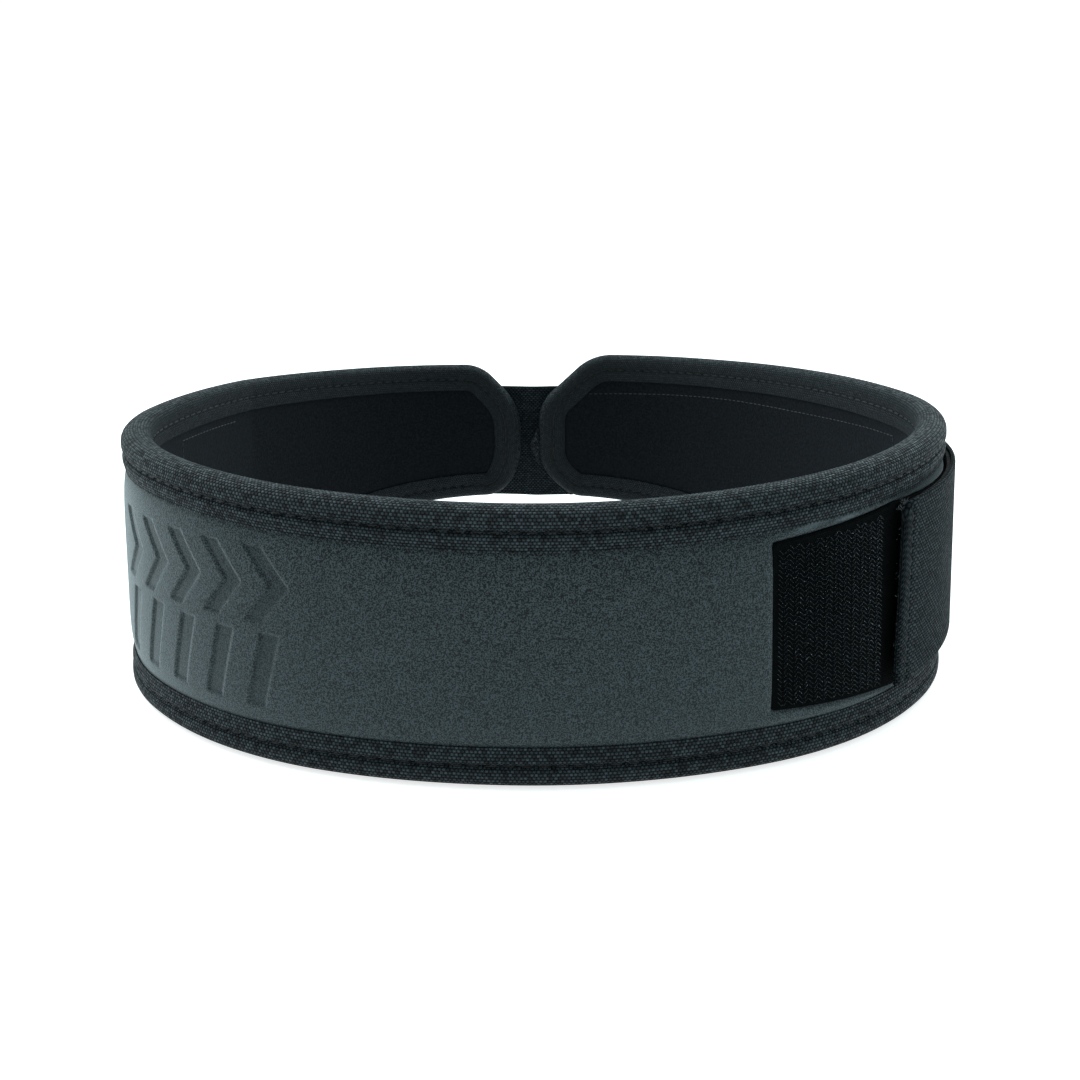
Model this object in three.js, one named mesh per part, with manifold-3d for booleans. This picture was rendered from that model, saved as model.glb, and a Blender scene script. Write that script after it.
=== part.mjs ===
import * as THREE from 'three';
import { mergeVertices } from 'three/addons/utils/BufferGeometryUtils.js';
import Module from 'manifold-3d';

// A foam-cored weightlifting belt that stands on its lower edge, curled as if round a waist.
// The near side is the back of the belt. Its two ends meet at the far side, where the closing
// strap crosses the gap. +X is to the right, +Y away from the near side, +Z up. Millimetres.
// u runs along the wall from the near middle, positive to the right; o is the offset outwards
// from the middle of the wall; z is the height above the table.

const wasm = await Module();
wasm.setup();

// Driving dimensions
const beltLength = 995;
const nearMiddle = 0.4915;
const beltHeight = 102;
const endLift = 16;
const hemFlare = 9.8;

const clearance = 0.3;
const shellThickness = 7.8;
const liningThickness = 1.1;

const tapeWall = 1.1;
const tapeRim = 2.6;
const tapeDepth = 15;
const grooveFromRim = 8.2;
const grooveDepth = 0.7;
const rimFlat = 4.8;
const rimShoulder = 0.9;
const rollDepth = 4.2;
const bandPastGroove = 1.8;
const bandDrop = 0.3;
const tapeEdgeDrop = 0.5;

const strapWidth = 69;
const strapThickness = 2;
const strapHemLength = 9;
const strapHemRise = 0.9;
const strapCorner = 4;
const freeEndFromMiddle = 124;
const rootFromMiddle = 232;

const patchStart = 73;
const patchNearHeight = 60;
const patchFullHeight = 70;
const patchTaperLength = 55;
const patchLow = 17;
const patchThickness = 1.3;
const patchCorner = 2;
const patchTilt = 1;
const patchPastStrapRoot = 4;
const loopPatchMargin = 3;

const buckleWindow = 17;
const buckleBar = 4;
const buckleThickness = 3;
const buckleSideGap = 0.6;
const buckleFromMiddle = 354;
const anchorLength = 78;
const foldEase = 45;

const lapReach = 6;
const lapHeight = 26;
const lapLow = 35;
const lapTip = 2;

const pressDepth = 1;
const pressFromMiddle = 88;
const pressPitch = 19;
const pressCount = 5;
const pressStroke = 7;
const pressRowHeight = 27;
const pressLow = 22;
const pressRowGap = 4;
const chevronReach = 0.9;
const barLean = 0.35;

// Near middle to the ends
const rightLength = beltLength * nearMiddle;
const leftLength = beltLength - rightLength;

// How each half of the wall bends, from the near middle to its end: share of the half's
// length and the turn over it in degrees. The short share on the left is a crease.
const rightBends = [
  { share: 0.158, turn: 18.7 },
  { share: 0.158, turn: 32.4 },
  { share: 0.168, turn: 48.7 },
  { share: 0.168, turn: 17.8 },
  { share: 0.168, turn: 21.1 },
  { share: 0.18, turn: 44.7 },
];
const leftBends = [
  { share: 0.158, turn: 17.5 },
  { share: 0.158, turn: 30.7 },
  { share: 0.168, turn: 48.7 },
  { share: 0.158, turn: 12.0 },
  { share: 0.006, turn: 8.0 },
  { share: 0.17, turn: 22.5 },
  { share: 0.182, turn: 51.7 },
];

// The belt's upper and lower edges: place as a share of the half's length, top as a share
// of beltHeight, lift as a share of endLift, flare as a share of hemFlare.
const edgeRows = [
  { place: -1.0, top: 0.954, lift: 1, flare: 1.0 },
  { place: -0.5, top: 1.05, lift: 0, flare: 0.65 },
  { place: 0.0, top: 0.956, lift: 0, flare: 1.0 },
  { place: 0.5, top: 1.07, lift: 0, flare: 0.6 },
  { place: 1.0, top: 1.012, lift: 1, flare: 0.9 },
];

// The ends' corners are cut off and rounded: a lead-in radius from the belt's edge, a turn in
// degrees, a straight cut and a radius into the end.
const endCorners = {
  rightTop: { lead: 30, turn: 43, cut: 20, nose: 24 },
  rightLow: { lead: 17, turn: 42, cut: 5, nose: 30 },
  leftLow: { lead: 17, turn: 60, cut: 0, nose: 50 },
  leftTop: { lead: 22, turn: 47, cut: 9, nose: 36 },
};

// Height of the strap's lower edge along its way, as a share of strapWidth.
const strapRows = [
  { place: -1.0, low: 0.203 },
  { place: -0.7, low: 0.29 },
  { place: -0.5, low: 0.325 },
  { place: 0.25, low: 0.278 },
  { place: 0.45, low: 0.345 },
  { place: 0.7, low: 0.285 },
  { place: 1.0, low: 0.203 },
];

// Faces of the layers, as offsets from the middle of the wall
const coreHalf = (shellThickness + clearance + liningThickness) / 2;
const shellOuter = coreHalf;
const shellInner = coreHalf - shellThickness;
const liningOuter = shellInner - clearance;
const liningInner = -coreHalf;
const tapeInside = coreHalf + clearance;
const tapeOutside = tapeInside + tapeWall;
const coreInset = tapeRim + clearance;
const strapUnder = tapeOutside + clearance;
const strapUnderTop = strapUnder + strapThickness;
const strapOver = strapUnderTop + clearance;
const strapOverTop = strapOver + strapThickness;
const barLow = strapUnderTop + clearance;
const barTop = barLow + buckleThickness;
const patchUnder = shellOuter + clearance;
const patchTop = patchUnder + patchThickness;

// Places along the wall
const buckleOuterEdge = -buckleFromMiddle;
const strapBarEdge = buckleOuterEdge + buckleBar;
const anchorBarEdge = strapBarEdge + buckleWindow;
const buckleInnerEdge = anchorBarEdge + buckleBar;
const anchorEnd = anchorBarEdge + anchorLength;

const stationTurn = 5.5;
const stationSpacing = 24;
const stationMargin = 1;
const cornerSteps = 7;
const noseSteps = 3;
const cutSpacing = 6;
const gapSteps = 4;
const foldSteps = 8;
const cutMargin = 1;

const mix = (from, to, share) => from + (to - from) * share;
const ease = (share) => share * share * (3 - 2 * share);

// The wall's plan: arcs end to end, from the near middle
function makeArcs(bends, length) {
  const arcs = [];
  let place = { from: 0, x: 0, y: 0, heading: 0 };
  for (const bend of bends) {
    const arc = { ...place, length: bend.share * length, turn: THREE.MathUtils.degToRad(bend.turn) };
    arcs.push(arc);
    const end = alongArc(arc, arc.length);
    place = { from: arc.from + arc.length, ...end };
  }
  return arcs;
}

function alongArc(arc, distance) {
  const bend = arc.turn / arc.length;
  const heading = arc.heading + bend * distance;
  return {
    x: arc.x + (Math.sin(heading) - Math.sin(arc.heading)) / bend,
    y: arc.y - (Math.cos(heading) - Math.cos(arc.heading)) / bend,
    heading,
  };
}

const rightArcs = makeArcs(rightBends, rightLength);
const leftArcs = makeArcs(leftBends, leftLength);

function alongHalf(arcs, distance) {
  const arc = arcs.findLast((one) => distance >= one.from) ?? arcs[0];
  return alongArc(arc, distance - arc.from);
}

const rightTip = alongHalf(rightArcs, rightLength);
const leftTipMirrored = alongHalf(leftArcs, leftLength);
const leftTip = { x: -leftTipMirrored.x, y: leftTipMirrored.y, heading: -leftTipMirrored.heading };
const endGap = Math.hypot(rightTip.x - leftTip.x, rightTip.y - leftTip.y);

// Past the right end the line bridges the gap to the left end
function bridge(share) {
  const { x: x0, y: y0, heading: h0 } = rightTip;
  const { x: x1, y: y1, heading: h1 } = leftTip;
  const start = new THREE.Vector2(x0, y0);
  const end = new THREE.Vector2(x1, y1);
  const first = new THREE.Vector2(Math.cos(h0), Math.sin(h0)).multiplyScalar(endGap / 3).add(start);
  const last = new THREE.Vector2(Math.cos(h1), Math.sin(h1)).multiplyScalar(-endGap / 3).add(end);
  const curve = new THREE.CubicBezierCurve(start, first, last, end);
  const point = curve.getPoint(share);
  const tangent = curve.getTangent(share);
  return { x: point.x, y: point.y, heading: Math.atan2(tangent.y, tangent.x) };
}

function wallPlace(u) {
  if (u > rightLength) return bridge((u - rightLength) / endGap);
  if (u >= 0) return alongHalf(rightArcs, u);
  const mirrored = alongHalf(leftArcs, -u);
  return { x: -mirrored.x, y: mirrored.y, heading: -mirrored.heading };
}

function placeShare(u) {
  return u < 0 ? u / leftLength : u / rightLength;
}

function rowValue(rows, place, key) {
  const next = rows.findIndex((row) => row.place >= place);
  if (next <= 0) return next === 0 ? rows[0][key] : rows[rows.length - 1][key];
  const before = rows[next - 1];
  const after = rows[next];
  const share = (place - before.place) / (after.place - before.place);
  return mix(before[key], after[key], ease(share));
}

// The same value across the gap, from the right end's row to the left end's
function alongLoop(rows, u, key) {
  if (u <= rightLength) return rowValue(rows, placeShare(u), key);
  return mix(rowValue(rows, 1, key), rowValue(rows, -1, key), (u - rightLength) / endGap);
}

const topEdge = (u) => beltHeight * alongLoop(edgeRows, u, 'top');
const bottomEdge = (u) => endLift * alongLoop(edgeRows, u, 'lift');
const strapLow = (u) => strapWidth * alongLoop(strapRows, u, 'low');

function wallPoint(u, z, offset) {
  const place = wallPlace(u);
  const flare = hemFlare * alongLoop(edgeRows, u, 'flare') * (1 - z / beltHeight);
  const out = offset + flare;
  return [place.x + Math.sin(place.heading) * out, place.y - Math.cos(place.heading) * out, z];
}

// One rounded corner of an end: run is its reach along the wall and drop its reach in height
function cornerShape({ lead, turn, cut, nose }) {
  const bend = THREE.MathUtils.degToRad(turn);
  const noseRun = nose * (1 - Math.sin(bend));
  const noseDrop = nose * Math.cos(bend);
  return {
    lead,
    cut,
    nose,
    bend,
    run: lead * Math.sin(bend) + cut * Math.cos(bend) + noseRun,
    drop: lead * (1 - Math.cos(bend)) + cut * Math.sin(bend) + noseDrop,
  };
}

const corners = Object.fromEntries(Object.entries(endCorners).map(([name, one]) => [name, cornerShape(one)]));
const endShapes = [
  { end: rightLength, side: 1, top: corners.rightTop, low: corners.rightLow },
  { end: -leftLength, side: -1, top: corners.leftTop, low: corners.leftLow },
];
const endReach = ({ top, low }) => Math.max(top.run, low.run);
const [rightReach, leftReach] = endShapes.map(endReach);

// Drop of the outline set in by inset, at a distance from the end
function cornerDrop(corner, fromEnd, inset) {
  const { lead, nose, bend, run, drop } = corner;
  const leadRadius = lead - inset;
  const noseRadius = nose - inset;
  const leadStart = run - leadRadius * Math.sin(bend);
  const noseStop = nose - noseRadius * Math.sin(bend);
  if (fromEnd >= run) return inset;
  if (fromEnd >= leadStart) return lead - Math.sqrt(leadRadius ** 2 - (run - fromEnd) ** 2);
  const noseDrop = (away) => drop - Math.sqrt(Math.max(noseRadius ** 2 - (nose - away) ** 2, 0));
  if (fromEnd <= noseStop) return noseDrop(fromEnd);
  const leadDrop = lead - leadRadius * Math.cos(bend);
  return mix(noseDrop(noseStop), leadDrop, (fromEnd - noseStop) / (leadStart - noseStop));
}

// Stations where the wall's layers all have a section, so that they stay parallel
function halfStations(bends, length, reach) {
  const places = [];
  let from = 0;
  for (const bend of bends) {
    const span = bend.share * length;
    const steps = Math.ceil(Math.max(bend.turn / stationTurn, span / stationSpacing));
    for (let step = 0; step < steps; step += 1) places.push(from + (span * step) / steps);
    from += span;
  }
  return places.filter((place) => place < length - reach - stationMargin);
}

const rightStations = halfStations(rightBends, rightLength, rightReach);
const leftStations = halfStations(leftBends, leftLength, leftReach);
const runStations = [
  -(leftLength - leftReach),
  ...leftStations.slice(1).reverse().map((place) => -place),
  ...rightStations,
  rightLength - rightReach,
];

// Nearer the ends the sections are closer, where the corners are round
function endDistances(reach, inset) {
  return Array.from({ length: cornerSteps }, (_, step) => {
    return mix(inset, reach, 1 - Math.cos((Math.PI / 2) * (step / cornerSteps)));
  });
}

const allStations = [
  ...endDistances(leftReach, 0).map((fromEnd) => fromEnd - leftLength),
  ...runStations,
  ...endDistances(rightReach, 0).map((fromEnd) => rightLength - fromEnd).reverse(),
];

function stationsBetween(from, to) {
  const inside = allStations.filter((u) => u > from + stationMargin && u < to - stationMargin);
  return [from, ...inside, to];
}

// A closed geometry through rings of points; each ring also has its outline in the plane
function loft(rings, closed = false) {
  const count = rings[0].points.length;
  const positions = rings.flatMap((ring) => ring.points.flat());
  const index = [];
  const spans = closed ? rings.length : rings.length - 1;
  for (let ring = 0; ring < spans; ring += 1) {
    const here = ring * count;
    const there = ((ring + 1) % rings.length) * count;
    for (let side = 0; side < count; side += 1) {
      const next = (side + 1) % count;
      index.push(here + side, here + next, there + next, here + side, there + next, there + side);
    }
  }
  if (!closed) {
    const base = (rings.length - 1) * count;
    const capOf = (ring) => THREE.ShapeUtils.triangulateShape(ring.flat.map((p) => new THREE.Vector2(...p)), []);
    const turned = THREE.ShapeUtils.area(rings[0].flat.map((p) => new THREE.Vector2(...p))) > 0;
    for (const [a, b, c] of capOf(rings[0])) index.push(...(turned ? [c, b, a] : [a, b, c]));
    for (const [a, b, c] of capOf(rings[rings.length - 1])) {
      index.push(...(turned ? [base + a, base + b, base + c] : [base + c, base + b, base + a]));
    }
  }
  const geometry = new THREE.BufferGeometry();
  geometry.setAttribute('position', new THREE.Float32BufferAttribute(positions, 3));
  geometry.setIndex(index);
  return facingOut(geometry);
}

function volumeOf(geometry) {
  const position = geometry.getAttribute('position');
  const index = geometry.getIndex();
  const corners = [new THREE.Vector3(), new THREE.Vector3(), new THREE.Vector3()];
  let volume = 0;
  for (let face = 0; face < index.count; face += 3) {
    corners.forEach((corner, side) => corner.fromBufferAttribute(position, index.getX(face + side)));
    volume += corners[0].dot(corners[1].clone().cross(corners[2])) / 6;
  }
  return volume;
}

function facingOut(geometry) {
  if (volumeOf(geometry) < 0) {
    const index = Array.from(geometry.getIndex().array);
    for (let face = 0; face < index.length; face += 3) {
      [index[face], index[face + 2]] = [index[face + 2], index[face]];
    }
    geometry.setIndex(index);
  }
  return geometry;
}

function solidFrom(geometry) {
  const bare = geometry.clone();
  bare.deleteAttribute('normal');
  bare.deleteAttribute('uv');
  const merged = mergeVertices(bare, 1e-4);
  return new wasm.Manifold(new wasm.Mesh({
    numProp: 3,
    vertProperties: new Float32Array(merged.getAttribute('position').array),
    triVerts: new Uint32Array(merged.getIndex().array),
  }));
}

function geometryFrom(solid) {
  const mesh = solid.getMesh();
  const geometry = new THREE.BufferGeometry();
  geometry.setAttribute('position', new THREE.Float32BufferAttribute(mesh.vertProperties, 3));
  geometry.setIndex(Array.from(mesh.triVerts));
  return geometry;
}

// A ring of the wall at u: outline points are [offset, height]
function wallRing(u, flat) {
  return { points: flat.map(([offset, z]) => wallPoint(u, z, offset)), flat };
}

// Layers between the tape's legs, with their corners set in by the same amount all round
function layerStations() {
  const corner = ({ end, side, top, low }) => endDistances(endReach({ top, low }), coreInset).map((fromEnd) => ({
    u: end - side * fromEnd,
    topInset: cornerDrop(top, fromEnd, coreInset),
    lowInset: cornerDrop(low, fromEnd, coreInset),
  }));
  const [right, left] = endShapes.map(corner);
  return [
    ...left,
    ...runStations.map((u) => ({ u, topInset: coreInset, lowInset: coreInset })),
    ...right.reverse(),
  ];
}

function wallLayer(outer, inner) {
  return loft(layerStations().map(({ u, topInset, lowInset }) => {
    const top = topEdge(u) - topInset;
    const low = bottomEdge(u) + lowInset;
    return wallRing(u, [[outer, top], [inner, top], [inner, low], [outer, low]]);
  }));
}

// Padded shell, with two rows of marks pressed into its outer face on the left flank
function pressedMark(corners) {
  const ring = (offset) => ({
    points: corners.map(([u, z]) => wallPoint(u, z, offset)),
    flat: corners,
  });
  return solidFrom(loft([ring(shellOuter - pressDepth), ring(shellOuter + pressDepth)]));
}

function chevron(u, low) {
  const arm = (pressPitch - pressStroke) * chevronReach;
  const half = pressRowHeight / 2;
  return [
    [u, low],
    [u + pressStroke, low],
    [u + pressStroke + arm, low + half],
    [u + pressStroke, low + pressRowHeight],
    [u, low + pressRowHeight],
    [u + arm, low + half],
  ];
}

function slantedBar(u, low) {
  const lean = pressPitch * barLean;
  return [
    [u, low],
    [u + pressStroke, low],
    [u + pressStroke + lean, low + pressRowHeight],
    [u + lean, low + pressRowHeight],
  ];
}

function makeShell() {
  let shell = solidFrom(wallLayer(shellOuter, shellInner));
  for (let mark = 0; mark < pressCount; mark += 1) {
    const u = -pressFromMiddle - pressPitch * (mark + 1);
    const upperRow = pressLow + pressRowHeight + pressRowGap;
    shell = shell.subtract(pressedMark(chevron(u, upperRow)));
    shell = shell.subtract(pressedMark(slantedBar(u, pressLow)));
  }
  return geometryFrom(shell);
}

// Edge binding: one tape folded over the rim all the way round, as a U swept round the outline
function tapeSection() {
  const outer = [
    [0, rimFlat / 2],
    [tapeRim / 2, tapeOutside - rimShoulder],
    [rollDepth, tapeOutside],
    [grooveFromRim, tapeOutside - grooveDepth],
    [grooveFromRim + bandPastGroove, tapeOutside - bandDrop],
    [tapeDepth, tapeOutside - tapeEdgeDrop],
  ];
  const cavity = [
    [tapeDepth, tapeInside],
    [tapeRim, tapeInside],
    [tapeRim, -tapeInside],
    [tapeDepth, -tapeInside],
  ];
  const inner = outer.map(([depth, offset]) => [depth, -offset]).reverse();
  return [...outer, ...cavity, ...inner];
}

// The rim's outline with its inward direction, once round
function cornerPath({ end, side }, corner, top) {
  const at = (fromEnd, dropped, angle) => {
    const u = end - side * fromEnd;
    return {
      u,
      z: top ? topEdge(u) - dropped : bottomEdge(u) + dropped,
      inU: -side * Math.sin(angle),
      inZ: (top ? -1 : 1) * Math.cos(angle),
    };
  };
  const { lead, cut, nose, bend, run, drop } = corner;
  const path = [];
  for (let step = 1; step <= cornerSteps; step += 1) {
    const angle = bend * (step / cornerSteps);
    path.push(at(run - lead * Math.sin(angle), lead * (1 - Math.cos(angle)), angle));
  }
  const cutSteps = Math.ceil(cut / cutSpacing);
  for (let step = 1; step <= cutSteps; step += 1) {
    const along = cut * (step / cutSteps);
    const fromEnd = run - lead * Math.sin(bend) - along * Math.cos(bend);
    path.push(at(fromEnd, lead * (1 - Math.cos(bend)) + along * Math.sin(bend), bend));
  }
  for (let step = 1; step < cornerSteps; step += 1) {
    const angle = mix(bend, Math.PI / 2, step / cornerSteps);
    path.push(at(nose * (1 - Math.sin(angle)), drop - nose * Math.cos(angle), angle));
  }
  return path;
}

function nosePath({ end, side, top, low }) {
  const path = [];
  for (let step = 0; step <= noseSteps; step += 1) {
    const z = mix(topEdge(end) - top.drop, bottomEdge(end) + low.drop, step / noseSteps);
    path.push({ u: end, z, inU: -side, inZ: 0 });
  }
  return path;
}

function rimPath() {
  const aroundEnd = (shape) => [
    ...cornerPath(shape, shape.top, true),
    ...nosePath(shape),
    ...cornerPath(shape, shape.low, false).reverse(),
  ];
  const [right, left] = endShapes;
  const runOf = (key) => {
    const from = left.end + left[key].run;
    const to = right.end - right[key].run;
    return stationsBetween(from, to);
  };
  return [
    ...runOf('top').map((u) => ({ u, z: topEdge(u), inU: 0, inZ: -1 })),
    ...aroundEnd(right),
    ...runOf('low').reverse().map((u) => ({ u, z: bottomEdge(u), inU: 0, inZ: 1 })),
    ...aroundEnd(left).reverse(),
  ];
}

function makeBinding() {
  const section = tapeSection();
  const rings = rimPath().map(({ u, z, inU, inZ }) => ({
    points: section.map(([depth, offset]) => wallPoint(u + inU * depth, z + inZ * depth, offset)),
  }));
  return loft(rings, true);
}

// Small diamond where the tape's ends lap, on the right end's edge
function makeTapeLap() {
  const base = rightLength + clearance;
  const middle = lapLow + lapHeight / 2;
  const corners = [
    [base, lapLow],
    [base + lapReach, middle - lapTip / 2],
    [base + lapReach, middle + lapTip / 2],
    [base, lapLow + lapHeight],
  ];
  const ring = (offset) => ({ points: corners.map(([u, z]) => wallPoint(u, z, offset)), flat: corners });
  return loft([ring(-tapeWall), ring(tapeWall)]);
}

// Hook patch on the right flank, and the loop patch sewn under the strap's free end
function patchBand(u) {
  const share = THREE.MathUtils.clamp((u - patchStart) / patchTaperLength, 0, 1);
  const height = mix(patchNearHeight, patchFullHeight, share);
  const middle = patchLow + patchFullHeight / 2 - mix(patchTilt, 0, share);
  return {
    low: Math.max(middle - height / 2, bottomEdge(u) + tapeDepth + clearance),
    high: Math.min(middle + height / 2, topEdge(u) - tapeDepth - clearance),
  };
}

function makeHookPatch() {
  const inner = stationsBetween(patchStart + patchCorner, rootFromMiddle - patchPastStrapRoot);
  const places = [patchStart, ...inner];
  return loft(places.map((u) => {
    const { low, high } = patchBand(u);
    const cut = u === patchStart ? patchCorner : 0;
    return wallRing(u, [
      [patchTop, high - cut], [patchUnder, high - cut], [patchUnder, low + cut], [patchTop, low + cut],
    ]);
  }));
}

function makeLoopPatch() {
  const margin = loopPatchMargin;
  const inner = patchTop + clearance;
  const outer = strapOver - clearance;
  const places = stationsBetween(freeEndFromMiddle + margin, rootFromMiddle - margin);
  return loft(places.map((u) => {
    const low = strapLow(u) + margin;
    const high = strapLow(u) + strapWidth - margin;
    return wallRing(u, [[outer, high], [inner, high], [inner, low], [outer, low]]);
  }));
}

// A webbing band of even width: each stop has its inner and outer face as [u, offset]
function bandRing({ inner, outer, cutTop = 0 }) {
  const low = strapLow(inner[0]);
  const high = low + strapWidth - cutTop;
  const corner = ([u, offset], z) => wallPoint(u, z, offset);
  return {
    points: [corner(outer, high), corner(inner, high), corner(inner, low), corner(outer, low)],
    flat: [[1, high], [0, high], [0, low], [1, low]],
  };
}

// The turn round a bar: from the run under it to the run over it, towards the window
function barTurn(barEdge, towards) {
  const stops = [];
  const middle = (barLow + barTop) / 2;
  const innerRadius = buckleThickness / 2 + clearance;
  for (let step = 0; step <= foldSteps; step += 1) {
    const angle = Math.PI * (step / foldSteps);
    const at = (radius) => [
      barEdge + towards * radius * Math.sin(angle),
      middle - radius * Math.cos(angle),
    ];
    stops.push({ inner: at(innerRadius + strapThickness), outer: at(innerRadius) });
  }
  return stops;
}

// How far the upper run stands off the lower one near the buckle
function overLift(u) {
  const away = Math.abs(u - strapBarEdge) - buckleBar - stationMargin;
  const share = THREE.MathUtils.clamp(away / foldEase, 0, 1);
  return (barTop + clearance - strapOver) * (1 - ease(share));
}

function upperStop(u, rise = 0, cutTop = 0) {
  const lift = overLift(u);
  return { inner: [u, strapOver + lift], outer: [u, strapOver + lift + strapThickness + rise], cutTop };
}

function lowerStop(u) {
  return { inner: [u, strapUnder], outer: [u, strapUnderTop] };
}

function gapPlaces() {
  const places = [];
  for (let step = 1; step < gapSteps; step += 1) places.push(rightLength + (endGap * step) / gapSteps);
  return places;
}

function makeStrap() {
  const rightRun = stationsBetween(rootFromMiddle, rightLength - stationMargin);
  const leftRun = stationsBetween(-leftLength + stationMargin, strapBarEdge);
  const under = [...rightRun, ...gapPlaces(), ...leftRun].map(lowerStop);
  const turned = barTurn(strapBarEdge, 1).slice(1, -1);
  const hemEnd = freeEndFromMiddle + strapHemLength;
  const freeRun = stationsBetween(hemEnd + stationMargin, rightLength - stationMargin).reverse();
  const pastBar = buckleOuterEdge - stationMargin;
  const easing = [strapBarEdge, pastBar];
  const leftOver = leftRun.slice(0, -1).filter((u) => u < pastBar - stationMargin).reverse();
  const over = [...easing, ...leftOver, ...gapPlaces().reverse(), ...freeRun].map((u) => upperStop(u));
  const hem = [
    upperStop(hemEnd, strapHemRise),
    upperStop(freeEndFromMiddle + strapCorner, strapHemRise),
    upperStop(freeEndFromMiddle, strapHemRise, strapCorner),
  ];
  const flipped = over.concat(hem).map(({ inner, outer, cutTop }) => ({ inner: outer, outer: inner, cutTop }));
  const stops = [...under, ...turned.map(({ inner, outer }) => ({ inner, outer })), ...flipped];
  return loft(stops.map(bandRing));
}

// Slide-bar buckle and the webbing loop that anchors it to the left side
function makeBuckle() {
  const low = strapLow(strapBarEdge) - buckleSideGap;
  const high = strapLow(strapBarEdge) + strapWidth + buckleSideGap;
  const rectangle = (from, to, bottom, top, offset) => [
    wallPoint(from, bottom, offset), wallPoint(to, bottom, offset),
    wallPoint(to, top, offset), wallPoint(from, top, offset),
  ];
  const plate = (from, to, bottom, top, inner, outer) => {
    const flat = [[from, bottom], [to, bottom], [to, top], [from, top]];
    return solidFrom(loft([
      { points: rectangle(from, to, bottom, top, inner), flat },
      { points: rectangle(from, to, bottom, top, outer), flat },
    ]));
  };
  const frame = plate(buckleOuterEdge, buckleInnerEdge, low - buckleBar, high + buckleBar, barLow, barTop);
  const window = plate(strapBarEdge, anchorBarEdge, low, high, barLow - cutMargin, barTop + cutMargin);
  return geometryFrom(frame.subtract(window));
}

function makeAnchor() {
  const under = stationsBetween(anchorBarEdge, anchorEnd).reverse().map(lowerStop);
  const turned = barTurn(anchorBarEdge, -1).slice(1, -1);
  const over = stationsBetween(anchorBarEdge, anchorEnd - strapCorner).map((u) => {
    const away = u - anchorBarEdge - buckleBar;
    const share = THREE.MathUtils.clamp(away / (foldEase / 2), 0, 1);
    const lift = (barTop + clearance - strapOver) * (1 - ease(share));
    return { inner: [u, strapOverTop + lift], outer: [u, strapOver + lift] };
  });
  return loft([...under, ...turned, ...over].map(bandRing));
}

// Colours and surfaces
const materials = {
  fabric: new THREE.MeshStandardMaterial({ color: 0x34393d, roughness: 0.92, metalness: 0 }),
  lining: new THREE.MeshStandardMaterial({ color: 0x15181d, roughness: 0.95, metalness: 0 }),
  tape: new THREE.MeshStandardMaterial({ color: 0x17181b, roughness: 0.8, metalness: 0 }),
  hook: new THREE.MeshStandardMaterial({ color: 0x101114, roughness: 0.7, metalness: 0 }),
  webbing: new THREE.MeshStandardMaterial({ color: 0x2b2d31, roughness: 0.85, metalness: 0 }),
  buckle: new THREE.MeshStandardMaterial({ color: 0x1a1a1c, roughness: 0.45, metalness: 0 }),
};

const belt = new THREE.Group();

function addPiece(name, geometry, material) {
  geometry.computeVertexNormals();
  const mesh = new THREE.Mesh(geometry, material);
  mesh.name = name;
  belt.add(mesh);
}

addPiece('padded_shell', makeShell(), materials.fabric);
addPiece('lining', wallLayer(liningOuter, liningInner), materials.lining);
addPiece('edge_binding', makeBinding(), materials.tape);
addPiece('tape_lap', makeTapeLap(), materials.tape);
addPiece('hook_patch', makeHookPatch(), materials.hook);
addPiece('loop_patch', makeLoopPatch(), materials.hook);
addPiece('closing_strap', makeStrap(), materials.webbing);
addPiece('slide_buckle', makeBuckle(), materials.buckle);
addPiece('buckle_anchor', makeAnchor(), materials.webbing);

// The origin is under the middle of the whole belt, on the table
const box = new THREE.Box3().setFromObject(belt);
const middle = box.getCenter(new THREE.Vector3());
belt.position.set(-middle.x, -middle.y, -box.min.z);

export default belt;
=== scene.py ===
# Foam-cored weightlifting belt standing closed on a white table: cloth, tape, webbing, stitches.
import math

import bpy
import numpy as np
from mathutils import Matrix, Vector


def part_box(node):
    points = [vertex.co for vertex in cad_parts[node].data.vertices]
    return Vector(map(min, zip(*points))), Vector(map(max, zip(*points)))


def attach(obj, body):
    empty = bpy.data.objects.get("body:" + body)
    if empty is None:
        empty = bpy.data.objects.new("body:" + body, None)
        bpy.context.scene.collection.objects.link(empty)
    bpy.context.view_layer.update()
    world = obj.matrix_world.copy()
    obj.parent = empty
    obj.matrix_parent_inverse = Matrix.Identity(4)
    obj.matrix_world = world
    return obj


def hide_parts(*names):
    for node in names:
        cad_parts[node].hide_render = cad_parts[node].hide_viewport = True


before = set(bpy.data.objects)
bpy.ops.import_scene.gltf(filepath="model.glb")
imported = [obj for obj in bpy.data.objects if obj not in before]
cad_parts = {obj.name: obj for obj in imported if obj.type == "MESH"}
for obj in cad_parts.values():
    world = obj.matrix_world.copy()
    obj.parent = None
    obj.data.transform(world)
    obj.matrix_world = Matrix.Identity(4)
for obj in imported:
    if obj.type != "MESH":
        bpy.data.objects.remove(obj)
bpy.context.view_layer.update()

mm = 0.001

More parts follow.
